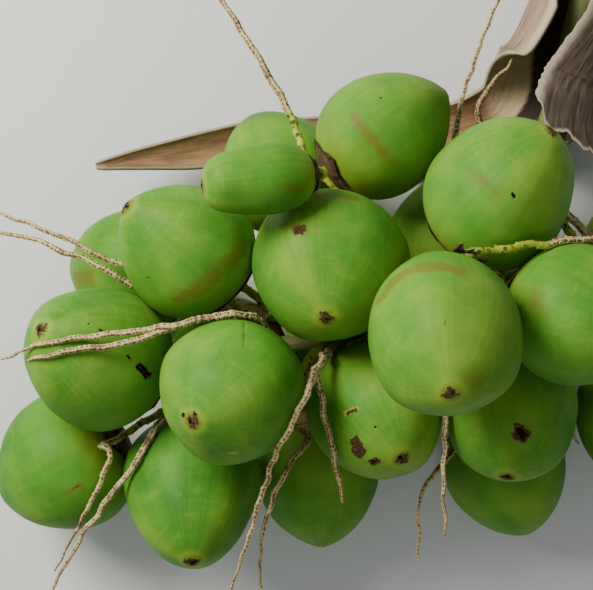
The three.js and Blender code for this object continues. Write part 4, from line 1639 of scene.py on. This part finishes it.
@dataclass(frozen=True)
class SheathMaker:
    """Turns a sheath into its dressed mesh: ribbed, with a thick rim and a worn edge."""

    # A painted line across the sheet near its foot, with painted light on one side and painted shade on
    # the other, and how soft it is.
    SHADE_LINE_SLOPE = 2.0
    SHADE_LINE_START = 0.52
    SHADE_LINE_SOFTNESS = 0.05

    layout: Layout
    rows: int
    columns: int
    ribs: int
    rib_height: float
    rim_width: float
    ragged: float = 0.03
    tears: float = 0.0

    def make(self, sheath: Sheath, material: bpy.types.Material) -> bpy.types.Object:
        """Makes the sheath's piece.

        Args:
            sheath: The sheath.
            material: Its material.

        Returns:
            The piece.
        """
        share = np.repeat(np.linspace(0, 1, self.rows), self.columns)
        side = np.tile(np.linspace(-1, 1, self.columns), self.rows)
        corners = np.vstack([self._layer(sheath, share, side, layer) for layer in (0, 1)])
        size = self.rows * self.columns
        edge = np.minimum(1 - np.abs(side), (1 - share) * 4)
        # The sheet has no fold here: this line only parts the painted light from the painted shade on the
        # inner face.
        shade_line = self.SHADE_LINE_SLOPE * share - self.SHADE_LINE_START
        carried = {
            "laid": np.vstack([
                np.stack([share * sheath.keel.length / 100, side + layer * 5, share * 0 + layer * 3], 1)
                for layer in (0, 1)]),
            "rim": np.tile(eased(edge, self.rim_width, self.rim_width * 0.3), 2),
            "outer": np.repeat([1.0, 0.0], size),
            "foot": np.tile(eased(share, 0.42, 0.2), 2),
            # Painted light, and below it painted shade, of the inner face near the foot.
            "weathered": np.tile(
                eased(side - shade_line, 0.0, -self.SHADE_LINE_SOFTNESS) * eased(share, 0.33, 0.29), 2),
            "shaded": np.tile(eased(side - shade_line, -self.SHADE_LINE_SOFTNESS, 0.0) * eased(share, 0.36, 0.28), 2),
        }
        faces = grid_faces(self.rows, self.columns, False, flipped=True)
        faces += grid_faces(self.rows, self.columns, False, start=size)
        faces += rim_faces(self.rows, self.columns, 0, size)
        piece = add_mesh(f"{sheath.node}_skin", self.layout.metres(corners), faces, carried,
                         material)
        face_outward(piece)
        return settle(piece, sheath.node)

    def _layer(self, sheath: Sheath, share: np.ndarray, side: np.ndarray, layer: int) -> np.ndarray:
        """The corners of the outer layer, 0, or the inner layer, 1.

        Args:
            sheath: The sheath.
            share: Each corner's share of its length.
            side: Each corner's place across it, from -1 to 1.
            layer: Which layer.

        Returns:
            The corners.
        """
        def uneven(along: float, across: float, seed: float, octaves: int) -> np.ndarray:
            """Noise laid along and across the sheath."""
            return rough(np.stack([share * along, side * across, share * 0], axis=1), 1.0, seed, octaves)

        wear = uneven(24.0, 1.5, 1.0, 1)
        worn = side * (1 - self.ragged * np.abs(side) ** 6 * (0.5 + 0.5 * wear))
        tear = uneven(0.0, 7.0, 2.0, 4)
        end = share * (1 - self.tears * (0.5 + 0.5 * tear) * share)
        middle = sheath.at(end, worn, 0.5)
        skin = sheath.at(end, worn, float(layer)) - middle
        ridge = np.abs(np.sin(side * self.ribs * math.pi / 2 + uneven(5.0, 2.0, 3.0, 1)))
        fibre = uneven(9.0, 34.0, 4.0 + layer, 3)
        rib = (ridge - 0.5) * self.rib_height * (0.6 + 0.4 * fibre) * (-0.7 if layer else 1)
        fade = eased(1 - np.abs(side), 0.0, 0.12) * eased(1 - share, 0.0, 0.08)
        thick = 1 + 0.5 * eased(1 - np.abs(side), self.rim_width, 0.0) * (1 - fade)
        return middle + skin * thick[:, None] + units(skin) * (rib * fade)[:, None]


class SpikeletPlanner:
    """Lays the spikelets' lines by the bunch's own rule, each clear of what was laid before it."""

    def __init__(self, fruits: Sequence[Coconut], stalk: MainStalk, layout: Layout) -> None:
        """Starts with the fruits and the stalk in the way.

        Args:
            fruits: The fruits, in their places.
            stalk: The main stalk.
            layout: How the eye sees the bunch.
        """
        self.fruits = fruits
        self.stalk = stalk
        self.layout = layout
        self.starts: list[np.ndarray] = []
        self.spans: list[np.ndarray] = []
        self.radii: list[float] = []
        self.keep_off(stalk.samples())

    def keep_off(self, samples: Sequence[tuple[np.ndarray, float]]) -> None:
        """Adds the lengths between samples to what later spikelets keep away from.

        Args:
            samples: Places along one thing, and its radius at each.
        """
        for (start, one), (end, two) in zip(samples, samples[1:]):
            self.starts.append(start)
            self.spans.append(end - start)
            self.radii.append(max(one, two))

    @staticmethod
    def radius(share: float, thick: float) -> float:
        """A spikelet's radius at a share of its length."""
        body = thick + (TAIL_RADIUS - thick) * min(1.0, share * TAPER)
        return body + (TIP_RADIUS - body) * max(0.0, share - (1 - TIP_SHARE)) / TIP_SHARE

    @staticmethod
    def evenly(points: Sequence[np.ndarray], step: float) -> list[np.ndarray]:
        """Points at even steps along straight chords.

        Args:
            points: The chords' ends.
            step: About how long a step is.

        Returns:
            The points, first and last among them.
        """
        places = np.array(points, float)
        passed = travelled(places)
        count = max(2, math.floor(passed[-1] / step + 0.5))
        wanted = np.linspace(0, passed[-1], count + 1)
        return list(np.stack([np.interp(wanted, passed, places[:, k]) for k in range(3)], axis=1))

    def cleared(self, points: list[np.ndarray], radii: Sequence[float], held: set[int],
                own: Coconut | None) -> list[np.ndarray]:
        """Moves points out of the fruits, the stalk, the ground and the earlier spikelets.

        Args:
            points: The points of one spikelet.
            radii: Its radius at each.
            held: The numbers of points that stay.
            own: The fruit that it carries, whose cap it may touch.

        Returns:
            The points, cleared and smoothed.
        """
        way = np.array(points)
        low, high = way.min(0) - NEAR_WAY, way.max(0) + NEAR_WAY
        starts, spans, sizes = np.array(self.starts), np.array(self.spans), np.array(self.radii)
        close = ((starts > low) & (starts < high)).all(1)
        near = (starts[close], spans[close], (spans[close] ** 2).sum(1), sizes[close])
        last = len(points) - 1
        for turn in range(CLEARING_PASSES):
            for i, point in enumerate(points):
                if i in held:
                    continue
                if turn < CLEARING_PASSES - LAST_PASSES and 0 < i < last:
                    point = point + ((points[i - 1] + points[i + 1]) * 0.5 - point) * SMOOTHING
                point = self.off_fruits(point, radii[i] + SIDE_ROOM, own)
                point = self._off_lengths(point, radii[i], near)
                points[i] = np.array([point[0], point[1], max(point[2], radii[i] + GROUND_GAP)])
        return points

    def off_fruits(self, point: np.ndarray, room: float, own: Coconut | None) -> np.ndarray:
        """A point moved out of the fruits, until it has that much room.

        Args:
            point: The point.
            room: How far from a rind it has to be.
            own: The fruit whose cap it may touch.

        Returns:
            The moved point.
        """
        for fruit in self.fruits:
            away = point - fruit.centre
            far = math.sqrt(float(away @ away))
            if far > fruit.length * FRUIT_REACH + room + FRUIT_MARGIN:
                continue
            height, polar = fruit.height_above(point)
            cap = CAP_THICKNESS if fruit is not own and polar < CAP_ROOM else 0.0
            short = room + cap - height
            if short > 0:
                point = point + away / far * short
        return point

    @staticmethod
    def _off_lengths(point: np.ndarray, radius: float, near: tuple[np.ndarray, ...]) -> np.ndarray:
        """A point moved out of the lengths of stalk, sheath and spikelet.

        Args:
            point: The point.
            radius: The spikelet's radius there.
            near: The lengths' starts, spans, squared lengths and radii.

        Returns:
            The moved point.
        """
        starts, spans, squares, sizes = near
        first = 0
        while True:
            away = point - starts[first:]
            found = np.flatnonzero((away * away).sum(1) <= NEAR_LENGTH ** 2)
            if not len(found):
                return point
            away, span = away[found], spans[first:][found]
            share = np.clip((away * span).sum(1) / squares[first:][found], 0, 1)
            apart = away - span * share[:, None]
            distance = np.sqrt((apart * apart).sum(1))
            short = radius + sizes[first:][found] + CROSS_ROOM - distance
            hit = np.flatnonzero(short > 0)
            if not len(hit):
                return point
            k = hit[0]
            point = point + apart[k] / (distance[k] or 1.0) * short[k]
            first += int(found[k]) + 1

    def fruit_lines(self, fruit: Coconut, tail: Tail | None) -> list["TwigLine"]:
        """The lines of a spikelet that carries a fruit: its own, and its fork's.

        Args:
            fruit: The fruit.
            tail: What shows of the spikelet, or None where nothing does.

        Returns:
            The lines, which later spikelets then keep away from.
        """
        seen = self._seen(tail.points) if tail else self._free_tail(fruit)
        pole = fruit.point(0.0, 0.0, CAP_THICKNESS + FOOT_RADIUS * POLE_RISE)
        via = [np.array(point, float) for point in fruit.via]
        root, outward = self.stalk.foot(fruit.foot, via[0] if via else pole)
        away = seen[0] - fruit.centre
        away = unit(away - fruit.axis * (away @ fruit.axis))
        turn = math.atan2(away @ fruit.other_side, away @ fruit.level_side)
        shoulder = fruit.point(SHOULDER_ANGLE, turn, FOOT_RADIUS + SIDE_ROOM)
        before = self.evenly([root + outward * FOOT_RISE, *via, pole], TWIG_STEP)
        after = self.evenly([pole, shoulder, *seen], TWIG_STEP)[1:]
        way = [root, *before, *after]
        held = {0, 1, len(before)}
        lines = [self._line(way, held, fruit, FOOT_RADIUS, len(before), (fruit.foot, outward))]
        if tail and tail.fork:
            goal = seen[tail.fork_from]
            crotch = min(lines[0].points, key=lambda point: float(np.linalg.norm(point - goal)))
            fork = [crotch.copy(), *self._seen(tail.fork)]
            lines.append(self._line(self.evenly(fork, TWIG_STEP), {0}, fruit, TAIL_RADIUS, 0, None))
        for line in lines:
            self.keep_off(list(zip(line.points, line.radii)))
        return lines

    def _seen(self, points: Sequence[Triple]) -> list[np.ndarray]:
        """Places that are given by where the eye sees them and by their height."""
        return [self.layout.sighted(*point) for point in points]

    def bare_line(self, foot: float, points: Sequence[Triple]) -> "TwigLine":
        """The line of a spikelet that has lost its fruit.

        Args:
            foot: The share of the stalk's length where it leaves the stalk.
            points: Where the eye sees it, and its height there.

        Returns:
            The line, which later spikelets then keep away from.
        """
        seen = self._seen(points)
        root, outward = self.stalk.foot(foot, seen[0])
        way = [root, *self.evenly([root + outward * FOOT_RISE, *seen], TWIG_STEP)]
        line = self._line(way, {0, 1}, None, FOOT_RADIUS, 0, (foot, outward))
        self.keep_off(list(zip(line.points, line.radii)))
        return line

    def _line(self, way: list[np.ndarray], held: set[int], own: Coconut | None, thick: float,
              pole: int, foot: tuple[float, np.ndarray] | None) -> "TwigLine":
        """A cleared line with its radii."""
        radii = [self.radius(i / (len(way) - 1), thick) for i in range(len(way))]
        return TwigLine(self.cleared(way, radii, held, own), radii, pole, foot)

    def _free_tail(self, fruit: Coconut) -> list[np.ndarray]:
        """A tail that doesn't show from the front runs on along its fruit and a little past it.

        Args:
            fruit: The fruit.

        Returns:
            The tail's points.
        """
        flank = fruit.centre - self.stalk.at(fruit.foot)
        flank = flank - fruit.axis * (flank @ fruit.axis)
        side = unit(flank) if flank @ flank > 1 else fruit.level_side
        middle = fruit.centre + side * (fruit.girth / 2 + FLANK_ROOM)
        return [middle, middle + fruit.axis * FREE_TAIL * 0.4,
                middle + fruit.axis * FREE_TAIL * 0.75 + side * FREE_BEND]


@dataclass
class TwigLine:
    """A spikelet's line: its points and radii, where it passes its fruit's pole, and its foot."""

    points: list[np.ndarray]
    radii: list[float]
    pole: int
    foot: tuple[float, np.ndarray] | None


@dataclass(frozen=True)
class SpikeletMaker:
    """Turns spikelet lines into knobbly, scarred pieces."""

    layout: Layout
    planner: SpikeletPlanner
    grower: TwigGrower
    scar: bpy.types.Object
    material: bpy.types.Material
    sunk: float = 4.0
    laid_step: float = 3.0
    step: float = 1.3
    sides: int = 14
    scar_spacing: float = 5.0
    plump: float = 1.0
    bend: float = 3.4
    bend_length: float = 21.0
    stiff: float = 6.0
    loose: float = 30.0
    knurl: float = 0.13
    knurl_length: float = 9.2
    scar_size: float = 0.42
    skin_gap: float = 0.2
    foot_swelling: float = 1.35
    all_dry: float = 1000.0

    def make(self, name: str, node: str, lines: Sequence[TwigLine], own: Coconut | None,
             green_for: float) -> bpy.types.Object:
        """Makes one spikelet's piece.

        Args:
            name: The piece's name.
            node: The solid that it stands for.
            lines: Its line, and its fork's.
            own: The fruit that it carries.
            green_for: How far past its fruit's pole it is still green.

        Returns:
            The piece.
        """
        number = float(sum(map(ord, node)) % 89)
        corners, edges, thick, dry = [], [], [], []
        for order, line in enumerate(lines):
            passed = travelled(line.points)
            pole = passed[line.pole] if line.foot else -self.all_dry
            first = len(corners)
            for place, radius, way in self._laid(line, passed):
                still = abs(way - pole) if line.pole else way
                loose = float(eased(min(way, still), self.stiff, self.loose))
                turned = Vector((way / self.bend_length, number + order * 3.3, 0.5))
                place = place + np.array(noise.noise_vector(turned)) * self.bend * loose
                stout = 1 + (own.stout - 1) * float(eased(way, 20, 60)) if own else 1.0
                radius *= self.plump * stout
                if loose:
                    place = self.planner.off_fruits(place, radius + self.skin_gap, own)
                corners.append(self.layout.metres(place))
                thick.append(radius * MM)
                dry.append(float(eased(way, pole + green_for - 6, pole + green_for + 14)))
            edges += [(i, i + 1) for i in range(first, len(corners) - 1)]
        seed = add_mesh("twig_line", np.array(corners), (), {
            "thick": np.array(thick), "dry": np.array(dry)}, edges=edges)
        piece = self.grower.grown(name, seed, {
            "Step": self.step * MM, "Knurl": self.knurl, "Knurl Length": self.knurl_length * MM,
            "Scar Spacing": self.scar_spacing * MM, "Scar Size": self.scar_size, "Seed": number,
            "Sides": self.sides, "Scar": self.scar, "Material": self.material})
        return settle(piece, node)

    def _laid(self, line: TwigLine, passed: np.ndarray) -> list[tuple[np.ndarray, float, float]]:
        """The line's smooth way, close together, started a little inside the stalk.

        Args:
            line: The line.
            passed: How far along it each of its points is.

        Returns:
            Places, radii, and how far along each is.
        """
        points, radii = list(line.points), list(line.radii)
        if line.foot:
            points[0] = points[0] - line.foot[1] * self.sunk
            radii[0] *= self.foot_swelling
        smooth = SmoothLine(points)
        count = max(8, int(passed[-1] / self.laid_step))
        laid = []
        for time in np.linspace(0, 1, count + 1):
            place = time * (len(points) - 1)
            laid.append((smooth.at(time), float(np.interp(place, range(len(radii)), radii)),
                         float(np.interp(place, range(len(passed)), passed))))
        return laid


@dataclass(frozen=True)
class Leaf:
    """One leaf of a cap: where its middle lies round the fruit, how far it reaches, and its kind."""

    order: int
    turn: float
    reach: float
    outer: bool
    shred: bool


@dataclass(frozen=True)
class CapMaker:
    """The cap of leathery flower leaves that holds a fruit's stem end."""

    layout: Layout
    material: bpy.types.Material
    rows: int = 13
    columns: int = 12
    leaves: int = 6
    leaf_thickness: float = 1.1
    leaf_start: float = 0.03
    leaf_width: float = 1.02
    outer_reach: float = math.radians(31)
    inner_reach: float = math.radians(37)
    shred_reach: float = math.radians(45)
    shred_width: float = 0.2
    shred_crumple: float = 3.5
    crumple: float = 0.9
    curl: float = 9.0
    least_height: float = 0.5

    def make(self, fruit: Coconut) -> bpy.types.Object:
        """Makes one fruit's cap.

        Args:
            fruit: The fruit.

        Returns:
            The cap's piece.
        """
        corners, faces, laid, edge = [], [], [], []
        size = self.rows * self.columns
        for leaf in self._leaves(fruit):
            for layer in (1, 0):
                start = len(corners)
                for row in np.linspace(0, 1, self.rows):
                    for column in np.linspace(-1, 1, self.columns):
                        corners.append(self._place(fruit, leaf, row, column, layer))
                        laid.append((column * 1.5, row * 0.6 + leaf.order, fruit.number))
                        edge.append(float(eased(max(row, abs(column)), 0.72, 1.0)))
                faces += grid_faces(self.rows, self.columns, False, layer == 0, start)
            faces += rim_faces(self.rows, self.columns, start - size, start)
        age = np.full(len(corners), fruit.cap.value * 0.8)
        piece = add_mesh(f"cap_{fruit.number:02d}", self.layout.metres(np.array(corners)), faces,
                         {"leaf": np.array(laid), "edge": np.array(edge), "age": age}, self.material)
        face_outward(piece)
        return settle(piece, f"spikelet_{fruit.number:02d}")

    def _leaves(self, fruit: Coconut) -> list[Leaf]:
        """The leaves of one fruit's cap: outer and inner by turns, then its shrivelled ones.

        Args:
            fruit: The fruit.

        Returns:
            The leaves, in the order that they are laid.
        """
        turns = [order * math.tau / self.leaves + fruit.start + 0.3 * math.sin(fruit.number + order)
                 for order in range(self.leaves)]
        leaves = []
        for order, turn in enumerate(turns + [math.radians(turn) for turn in fruit.shreds]):
            outer, shred = order % 2 == 0, order >= self.leaves
            reach = (self.outer_reach if outer else self.inner_reach) * fruit.cap_spread
            reach = self.shred_reach if shred else reach
            uneven = 1 + 0.1 * math.sin(fruit.number * 2.1 + order * 1.9)
            leaves.append(Leaf(order, turn, reach * uneven, outer, shred))
        return leaves

    def _place(self, fruit: Coconut, leaf: Leaf, row: float, column: float, layer: int) -> np.ndarray:
        """One corner of a leaf: along it from 0 to 1, across it from -1 to 1, on its layer 0 or 1.

        Args:
            fruit: The fruit.
            leaf: The leaf.
            row: How far along it.
            column: How far across it.
            layer: Which layer.

        Returns:
            The corner's place.
        """
        first = self.leaf_start
        polar = first + (leaf.reach - first) * row * (1 - 0.16 * column ** 2 * row)
        width = self.leaf_width * math.sqrt(max(0.0, 1 - row ** 3.2)) + 0.05
        turn = leaf.turn + column * (width * (self.shred_width if leaf.shred else 1))
        lift = 0.7 + (2.3 if leaf.outer else 0.5) * (1 - row * 0.75) + 1.2 * max(0.0, row - 0.75) * 4
        lift += self.curl * leaf.shred * row ** 2 * (1 - 0.6 * column ** 2)
        crumple = noise.noise(Vector((polar * 14, turn * 4, fruit.number * 3.0))) * row
        crumple *= self.shred_crumple if leaf.shred else self.crumple
        height = lift + crumple + layer * self.leaf_thickness * (1.25 - 0.6 * row)
        return fruit.point(polar, turn, max(self.least_height, height))


class Studio:
    """A pale floor, soft light from the top left, and a camera where the eye is."""

    SENSOR = 36.0
    VIEW_WIDTH = 593.0
    FOCAL = 1440.0
    FLOOR_HALF = 12.0
    FLOOR_DROP = 0.0006
    SKY = (0.92, 0.95, 1.0, 1.0)
    SKY_STRENGTH = 0.24
    LIGHTS = (("key", (-1.5, 1.15, 1.65), 90.0, (1.0, 0.98, 0.93)),
              ("front", (0.1, -1.3, 2.1), 5.0, (1.0, 1.0, 1.0)))
    LIGHT_SIZE = 1.2
    AIM = (0.0, 0.0, 0.15)

    def __init__(self, layout: Layout) -> None:
        """Keeps the layout."""
        self.layout = layout

    def make(self) -> None:
        """Builds the studio."""
        self._floor()
        self._camera()
        for light in self.LIGHTS:
            self._light(*light)
        world = bpy.data.worlds.new("studio")
        world.use_nodes = True
        background = world.node_tree.nodes["Background"]
        background.inputs["Color"].default_value = self.SKY
        background.inputs["Strength"].default_value = self.SKY_STRENGTH
        bpy.context.scene.world = world

    def _floor(self) -> None:
        """A pale floor."""
        half = self.FLOOR_HALF
        corners = np.array([(x * half, y * half, -self.FLOOR_DROP)
                            for x, y in ((-1, -1), (1, -1), (1, 1), (-1, 1))])
        coat = Coat("floor")
        grain = coat.noise(coat.object_place(), 40.0, 3.0)
        material = coat.finish(shade("e9e9e6"), 0.8, grain, 0.0001)
        add_mesh("floor", corners, [(0, 1, 2, 3)], {}, material)

    def _camera(self) -> None:
        """A camera that looks straight down from the eye."""
        data = bpy.data.cameras.new("camera")
        data.sensor_width = self.SENSOR
        data.lens = self.FOCAL * self.SENSOR / self.VIEW_WIDTH
        camera = linked("camera", data)
        camera.location = self.layout.metres(self.layout.eye).tolist()
        bpy.context.scene.camera = camera

    def _light(self, name: str, place: Triple, power: float, colour: Triple) -> None:
        """A square soft light that faces the bunch.

        Args:
            name: The light's name.
            place: Where it hangs, in metres.
            power: Its power in watts.
            colour: Its colour.
        """
        data = bpy.data.lights.new(name, "AREA")
        data.size = self.LIGHT_SIZE
        data.energy = power
        data.color = colour
        light = linked(name, data)
        light.location = place
        light.rotation_euler = (Vector(self.AIM) - Vector(place)).to_track_quat("-Z", "Y").to_euler()


def spots(*marks: tuple[MarkKind, float, float, tuple[tuple[float, float], ...]]) -> tuple[Mark, ...]:
    """Marks from their kinds, strengths, sizes and lines."""
    return tuple(Mark(*mark) for mark in marks)


BRUISE, CORK, SPECK, PALE = MarkKind.BRUISE, MarkKind.CORK, MarkKind.SPECK, MarkKind.PALE

FRUITS = (
    Coconut(1, 178, -20, 158, 144, 20, 0.915, marks=spots(
        (BRUISE, 0.8, 16.0, ((-219, 17), (-208, 15))))),
    Coconut(2, -88, -10, 162, 143, 50, 0.84, ((-22, -92, 128),)),
    Coconut(3, -70, -15, 160, 143, 80, 0.53),
    Coconut(4, -130, -45, 163, 143, 0, 0.98),
    Coconut(5, -100, -22, 162, 142, 35, 0.75),
    Coconut(6, 70, -22, 160, 142, 70, 0.62),
    Coconut(7, -56, -50, 160, 143, 15, 0.5),
    Coconut(8, 10, -22, 158, 142, 95, 0.42),
    Coconut(9, -80, -15, 165, 146, 40, 0.463),
    Coconut(10, 112, -22, 150, 137, 60, 0.77, tone=0.03),
    Coconut(11, -153, -8, 158, 160, 50, 0.96, shoulder=0.2, cap=CapLook.DARK, cap_spread=0.7,
            tone=-0.04, marks=spots(
        (BRUISE, 0.8, 4.5, ((-230, -198), (-216, -190))),
        (SPECK, 0.4, 1.3, ((-223, -194), (-218, -191))),
        (BRUISE, 0.35, 22.0, ((-205, -152), (-190, -162))))),
    Coconut(12, -86, 46, 180, 149, 42, 0.94, blunt=0.26, shoulder=0.28, tone=-0.04),
    # Fruit 13's tone is partly painted light: the whole fruit is made lighter.
    Coconut(13, 33, -6, 158, 135, 77, 0.66, cap=CapLook.DARK, cap_spread=0.8, tone=0.06, marks=spots(
        (BRUISE, 0.65, 10.0, ((58, 178), (76, 156), (95, 133))),
        (SPECK, 0.8, 1.8, ((85, 197),)))),
    Coconut(14, -62, 53, 162, 146, 47, 0.72, ((50, -52, 156),), blunt=0.14, shoulder=0.08, tone=0.08,
            marks=spots(
        (CORK, 0.3, 7.8, ((60, -148), (63, -157))),
        (CORK, 0.5, 5.0, ((76, -167), (80, -166))),
        (PALE, 0.8, 4.0, ((50, -118), (60, -114))),
        (CORK, 0.3, 2.6, ((52, -118), (59, -115))),
        (SPECK, 0.8, 1.8, ((79, -132),)))),
    Coconut(15, 149, 49, 166, 155, 18, 0.99, blunt=0.2, shoulder=0.2, marks=spots(
        (SPECK, 0.8, 1.8, ((-160, -72), (-150, -83))),
        (SPECK, 0.8, 1.6, ((-156, -69), (-146, -80))),
        (CORK, 0.5, 4.6, ((-157, -72), (-149, -80))),
        (SPECK, 0.7, 1.6, ((-169, -61), (-165, -65))),
        (SPECK, 0.7, 1.5, ((-208, -29),)),
        (SPECK, 0.6, 1.8, ((-196, -35), (-191, -37))))),
    Coconut(16, 145, 30, 154, 143, 0, 0.87, shoulder=0.24, marks=spots(
        (BRUISE, 0.85, 12.0, ((-119, -4), (-91, 13), (-68, 33), (-55, 53))),
        (SPECK, 0.6, 1.5, ((-148, 17),)))),
    Coconut(17, -99, 30, 156, 143, 99, 0.563, blunt=0.24, shoulder=0.08, marks=spots(
        (CORK, 0.55, 9.0, ((222, -137), (227, -140))))),
    Coconut(18, 52, 32, 168, 151, -22, 0.575, blunt=0.16, shoulder=0.2, cap_spread=0.8, tone=0.05,
            marks=spots(
        (BRUISE, 0.55, 8.0, ((173, 125), (190, 113), (204, 100))),
        (SPECK, 0.9, 2.0, ((216, 101), (218, 98))),
        (BRUISE, 0.7, 8.0, ((126, 51), (136, 47))))),
    Coconut(19, -22, 42, 160, 145, 5, 0.47, marks=spots(
        (BRUISE, 0.6, 12.0, ((238, 2), (243, -18))))),
    Coconut(20, -95, 51, 156, 166, 8, 0.69, tone=0.03, marks=spots(
        (BRUISE, 0.95, 8.0, ((-32, 72), (-18, 88), (4, 97), (30, 99), (58, 96))),
        (CORK, 0.3, 5.2, ((1, 65), (6, 65))),
        (BRUISE, 0.9, 7.0, ((-14, 69), (8, 66))),
        (PALE, 0.6, 6.0, ((0, 80),)),
        (PALE, 0.8, 8.0, ((38, -20),)))),
    Coconut(21, -145, 56, 156, 151, 75, 0.9, shoulder=0.0, marks=spots(
        (SPECK, 0.35, 2.4, ((-53, -27), (-53, -50))),
        (PALE, 0.8, 3.5, ((-66, -158), (-61, -158))),
        (CORK, 0.8, 3.0, ((-113, -120),)),
        (CORK, 0.8, 3.2, ((-101, -119),)))),
    # Fruit 22's tone is partly painted shade: the whole fruit is made darker for the shade on its
    # underside.
    Coconut(22, 187, 12, 117, 72, 28, 0.8,
            ((28, 30, 158), (-14, 96, 176), (-8, 108, 236), (18, 116, 262)), blunt=0.62, scar=0.7,
            cap=CapLook.DARK, cap_spread=0.8, green_for=92.0, stout=1.3, tone=-0.06, marks=spots(
        (BRUISE, 0.5, 7.0, ((-8, 110), (2, 106))))),
    Coconut(23, -92, 57, 184, 151, 103, 0.595, blunt=0.06, shoulder=0.05, cap=CapLook.DARK,
            shreds=(44.0, 55.0, 63.0, 74.0), green_for=138.0, stout=1.5, tone=0.05, marks=spots(
        (BRUISE, 1.0, 12.0, ((84, -4), (94, 11), (111, 24), (138, 29), (163, 24))),
        (SPECK, 0.35, 1.4, ((150, -25), (149, -31))),
        (BRUISE, 0.6, 13.0, ((172, -80), (184, -86))),
        # A painted highlight: a faint glint line on the rind.
        (PALE, 0.15, 12.0, ((120, 0), (150, 4))))),
)

TAILS = {
    1: Tail(((-165, 23, 168), (-213, 48, 169), (-268, 73, 157), (-322, 93, 143))),
    2: Tail(((0, -145, 208), (-20, -192, 192), (-38, -234, 170), (-46, -266, 155), (-32, -309, 139))),
    3: Tail(((114, -176, 172), (118, -216, 161), (123, -265, 145))),
    10: Tail(((25, 160, 84), (60, 190, 68))),
    11: Tail(((-164, -135, 176), (-182, -165, 188), (-202, -196, 181), (-222, -240, 153),
              (-241, -276, 126))),
    12: Tail(((-132, -121, 196), (-150, -151, 209), (-174, -189, 202), (-214, -234, 168),
              (-238, -274, 142), (-251, -312, 125))),
    13: Tail(((52, 140, 92), (84, 158, 84), (112, 174, 80))),
    14: Tail(((27, -52, 226), (20, -76, 262), (4, -94, 310), (-16, -135, 324), (-29, -181, 270),
              (-42, -229, 231), (-60, -279, 204), (-75, -320, 188)), 1,
             ((23, -108, 268), (33, -136, 261), (37, -164, 248), (50, -198, 223), (46, -206, 217))),
    15: Tail(((-172, -62, 104), (-196, -54, 94))),
    16: Tail(((-172, 21, 196), (-226, 46, 188), (-272, 59, 173), (-330, 70, 154))),
    17: Tail(((146, -112, 226), (148, -151, 242), (148, -193, 226), (148, -240, 209))),
    18: Tail(((152, 150, 128), (164, 208, 134), (183, 251, 131), (213, 322, 122))),
    19: Tail(((258, -16, 190), (284, -28, 184), (306, -38, 184))),
    20: Tail(((30, 22, 160), (6, 6, 152))),
    21: Tail(((-34, -23, 262), (-77, -18, 279), (-108, -30, 281), (-142, -34, 279), (-201, -45, 274),
              (-251, -48, 252), (-295, -64, 228)), 2,
             ((-124, -41, 280), (-174, -49, 275), (-213, -57, 267), (-267, -65, 243))),
    22: Tail(((22, 130, 262), (3, 164, 250), (-17, 205, 242), (-49, 257, 233), (-77, 296, 222),
              (-104, 349, 204))),
    23: Tail(((163, 45, 300), (188, 38, 308), (221, 50, 309), (254, 44, 302), (297, 43, 293),
              (338, 22, 279))),
}

BARE_SPIKELETS = (
    (0.37, ((176, 148, 104), (158, 166, 104), (180, 198, 107), (212, 246, 102))),
    (0.43, ((330, 20, 150), (352, 0, 166), (372, -22, 172), (388, -50, 168))),
)

BARE_GREEN_FOR = 25.0
BEND_SEED = 7

# The last two colours of each sheath are its painted light and its painted shade.
SPATHE_FINISH = SheathFinish("spathe", *map(shade, (
    "bb9064", "8c6647", "a08c70", "786450", "cdbc98", "a98f70", "ecd2a4", "38291c")))
BRACT_FINISH = SheathFinish("outer_bract", *map(shade, (
    "5a4330", "33251b", "5c4b39", "33271c", "bbaa92", "55442f", "5a4330", "33251b")))


def report(piece: bpy.types.Object) -> None:
    """Logs a finished piece."""
    log.info("%s: %d faces", piece.name, len(piece.data.polygons))


def main() -> None:
    """Builds the bunch's pieces in order."""
    logging.basicConfig(level=logging.INFO, format="%(message)s")
    noise.seed_set(BEND_SEED)
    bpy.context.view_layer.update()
    stalk = MainStalk()
    layout = Layout.told_by(frame["record"], stalk.STAGES[0][0])
    Studio(layout).make()
    fruit_maker = FruitMaker(layout, RindFinish().material())
    for fruit in FRUITS:
        fruit.find(layout)
    for fruit in FRUITS:
        report(fruit_maker.make(fruit))
    spathe = Spathe.laid(thickness=3.2, node="spathe")
    bract = OuterBract.laid(thickness=2.6, node="outer_bract")
    planner = SpikeletPlanner(FRUITS, stalk, layout)
    for line in spathe.lines(steps=22, around=8) + bract.lines(steps=12, around=14):
        planner.keep_off(line)
    twigs = SpikeletMaker(layout, planner, TwigGrower(), FlowerScar().make(),
                          SpikeletFinish().material())
    caps = CapMaker(layout, CapFinish().material())
    feet = []
    for fruit in FRUITS:
        lines = planner.fruit_lines(fruit, TAILS.get(fruit.number))
        feet.append(lines[0].foot)
        report(twigs.make(f"twig_{fruit.number:02d}", f"spikelet_{fruit.number:02d}", lines, fruit,
                          fruit.green_for))
        report(caps.make(fruit))
    for number, (foot, points) in enumerate(BARE_SPIKELETS, 1):
        line = planner.bare_line(foot, points)
        feet.append(line.foot)
        report(twigs.make(f"bare_twig_{number:02d}", f"bare_spikelet_{number:02d}", [line], None,
                          BARE_GREEN_FOR))
    bpy.data.objects.remove(twigs.scar)
    report(stalk.make(layout, StalkFinish().material(), feet))
    smooth = SheathMaker(layout, rows=260, columns=60, ribs=14, rib_height=0.7, rim_width=0.12)
    report(smooth.make(spathe, SPATHE_FINISH.material()))
    torn = SheathMaker(layout, rows=150, columns=110, ribs=26, rib_height=1.6, rim_width=0.1, tears=0.1)
    report(torn.make(bract, BRACT_FINISH.material()))


if __name__ == "__main__":
    main()
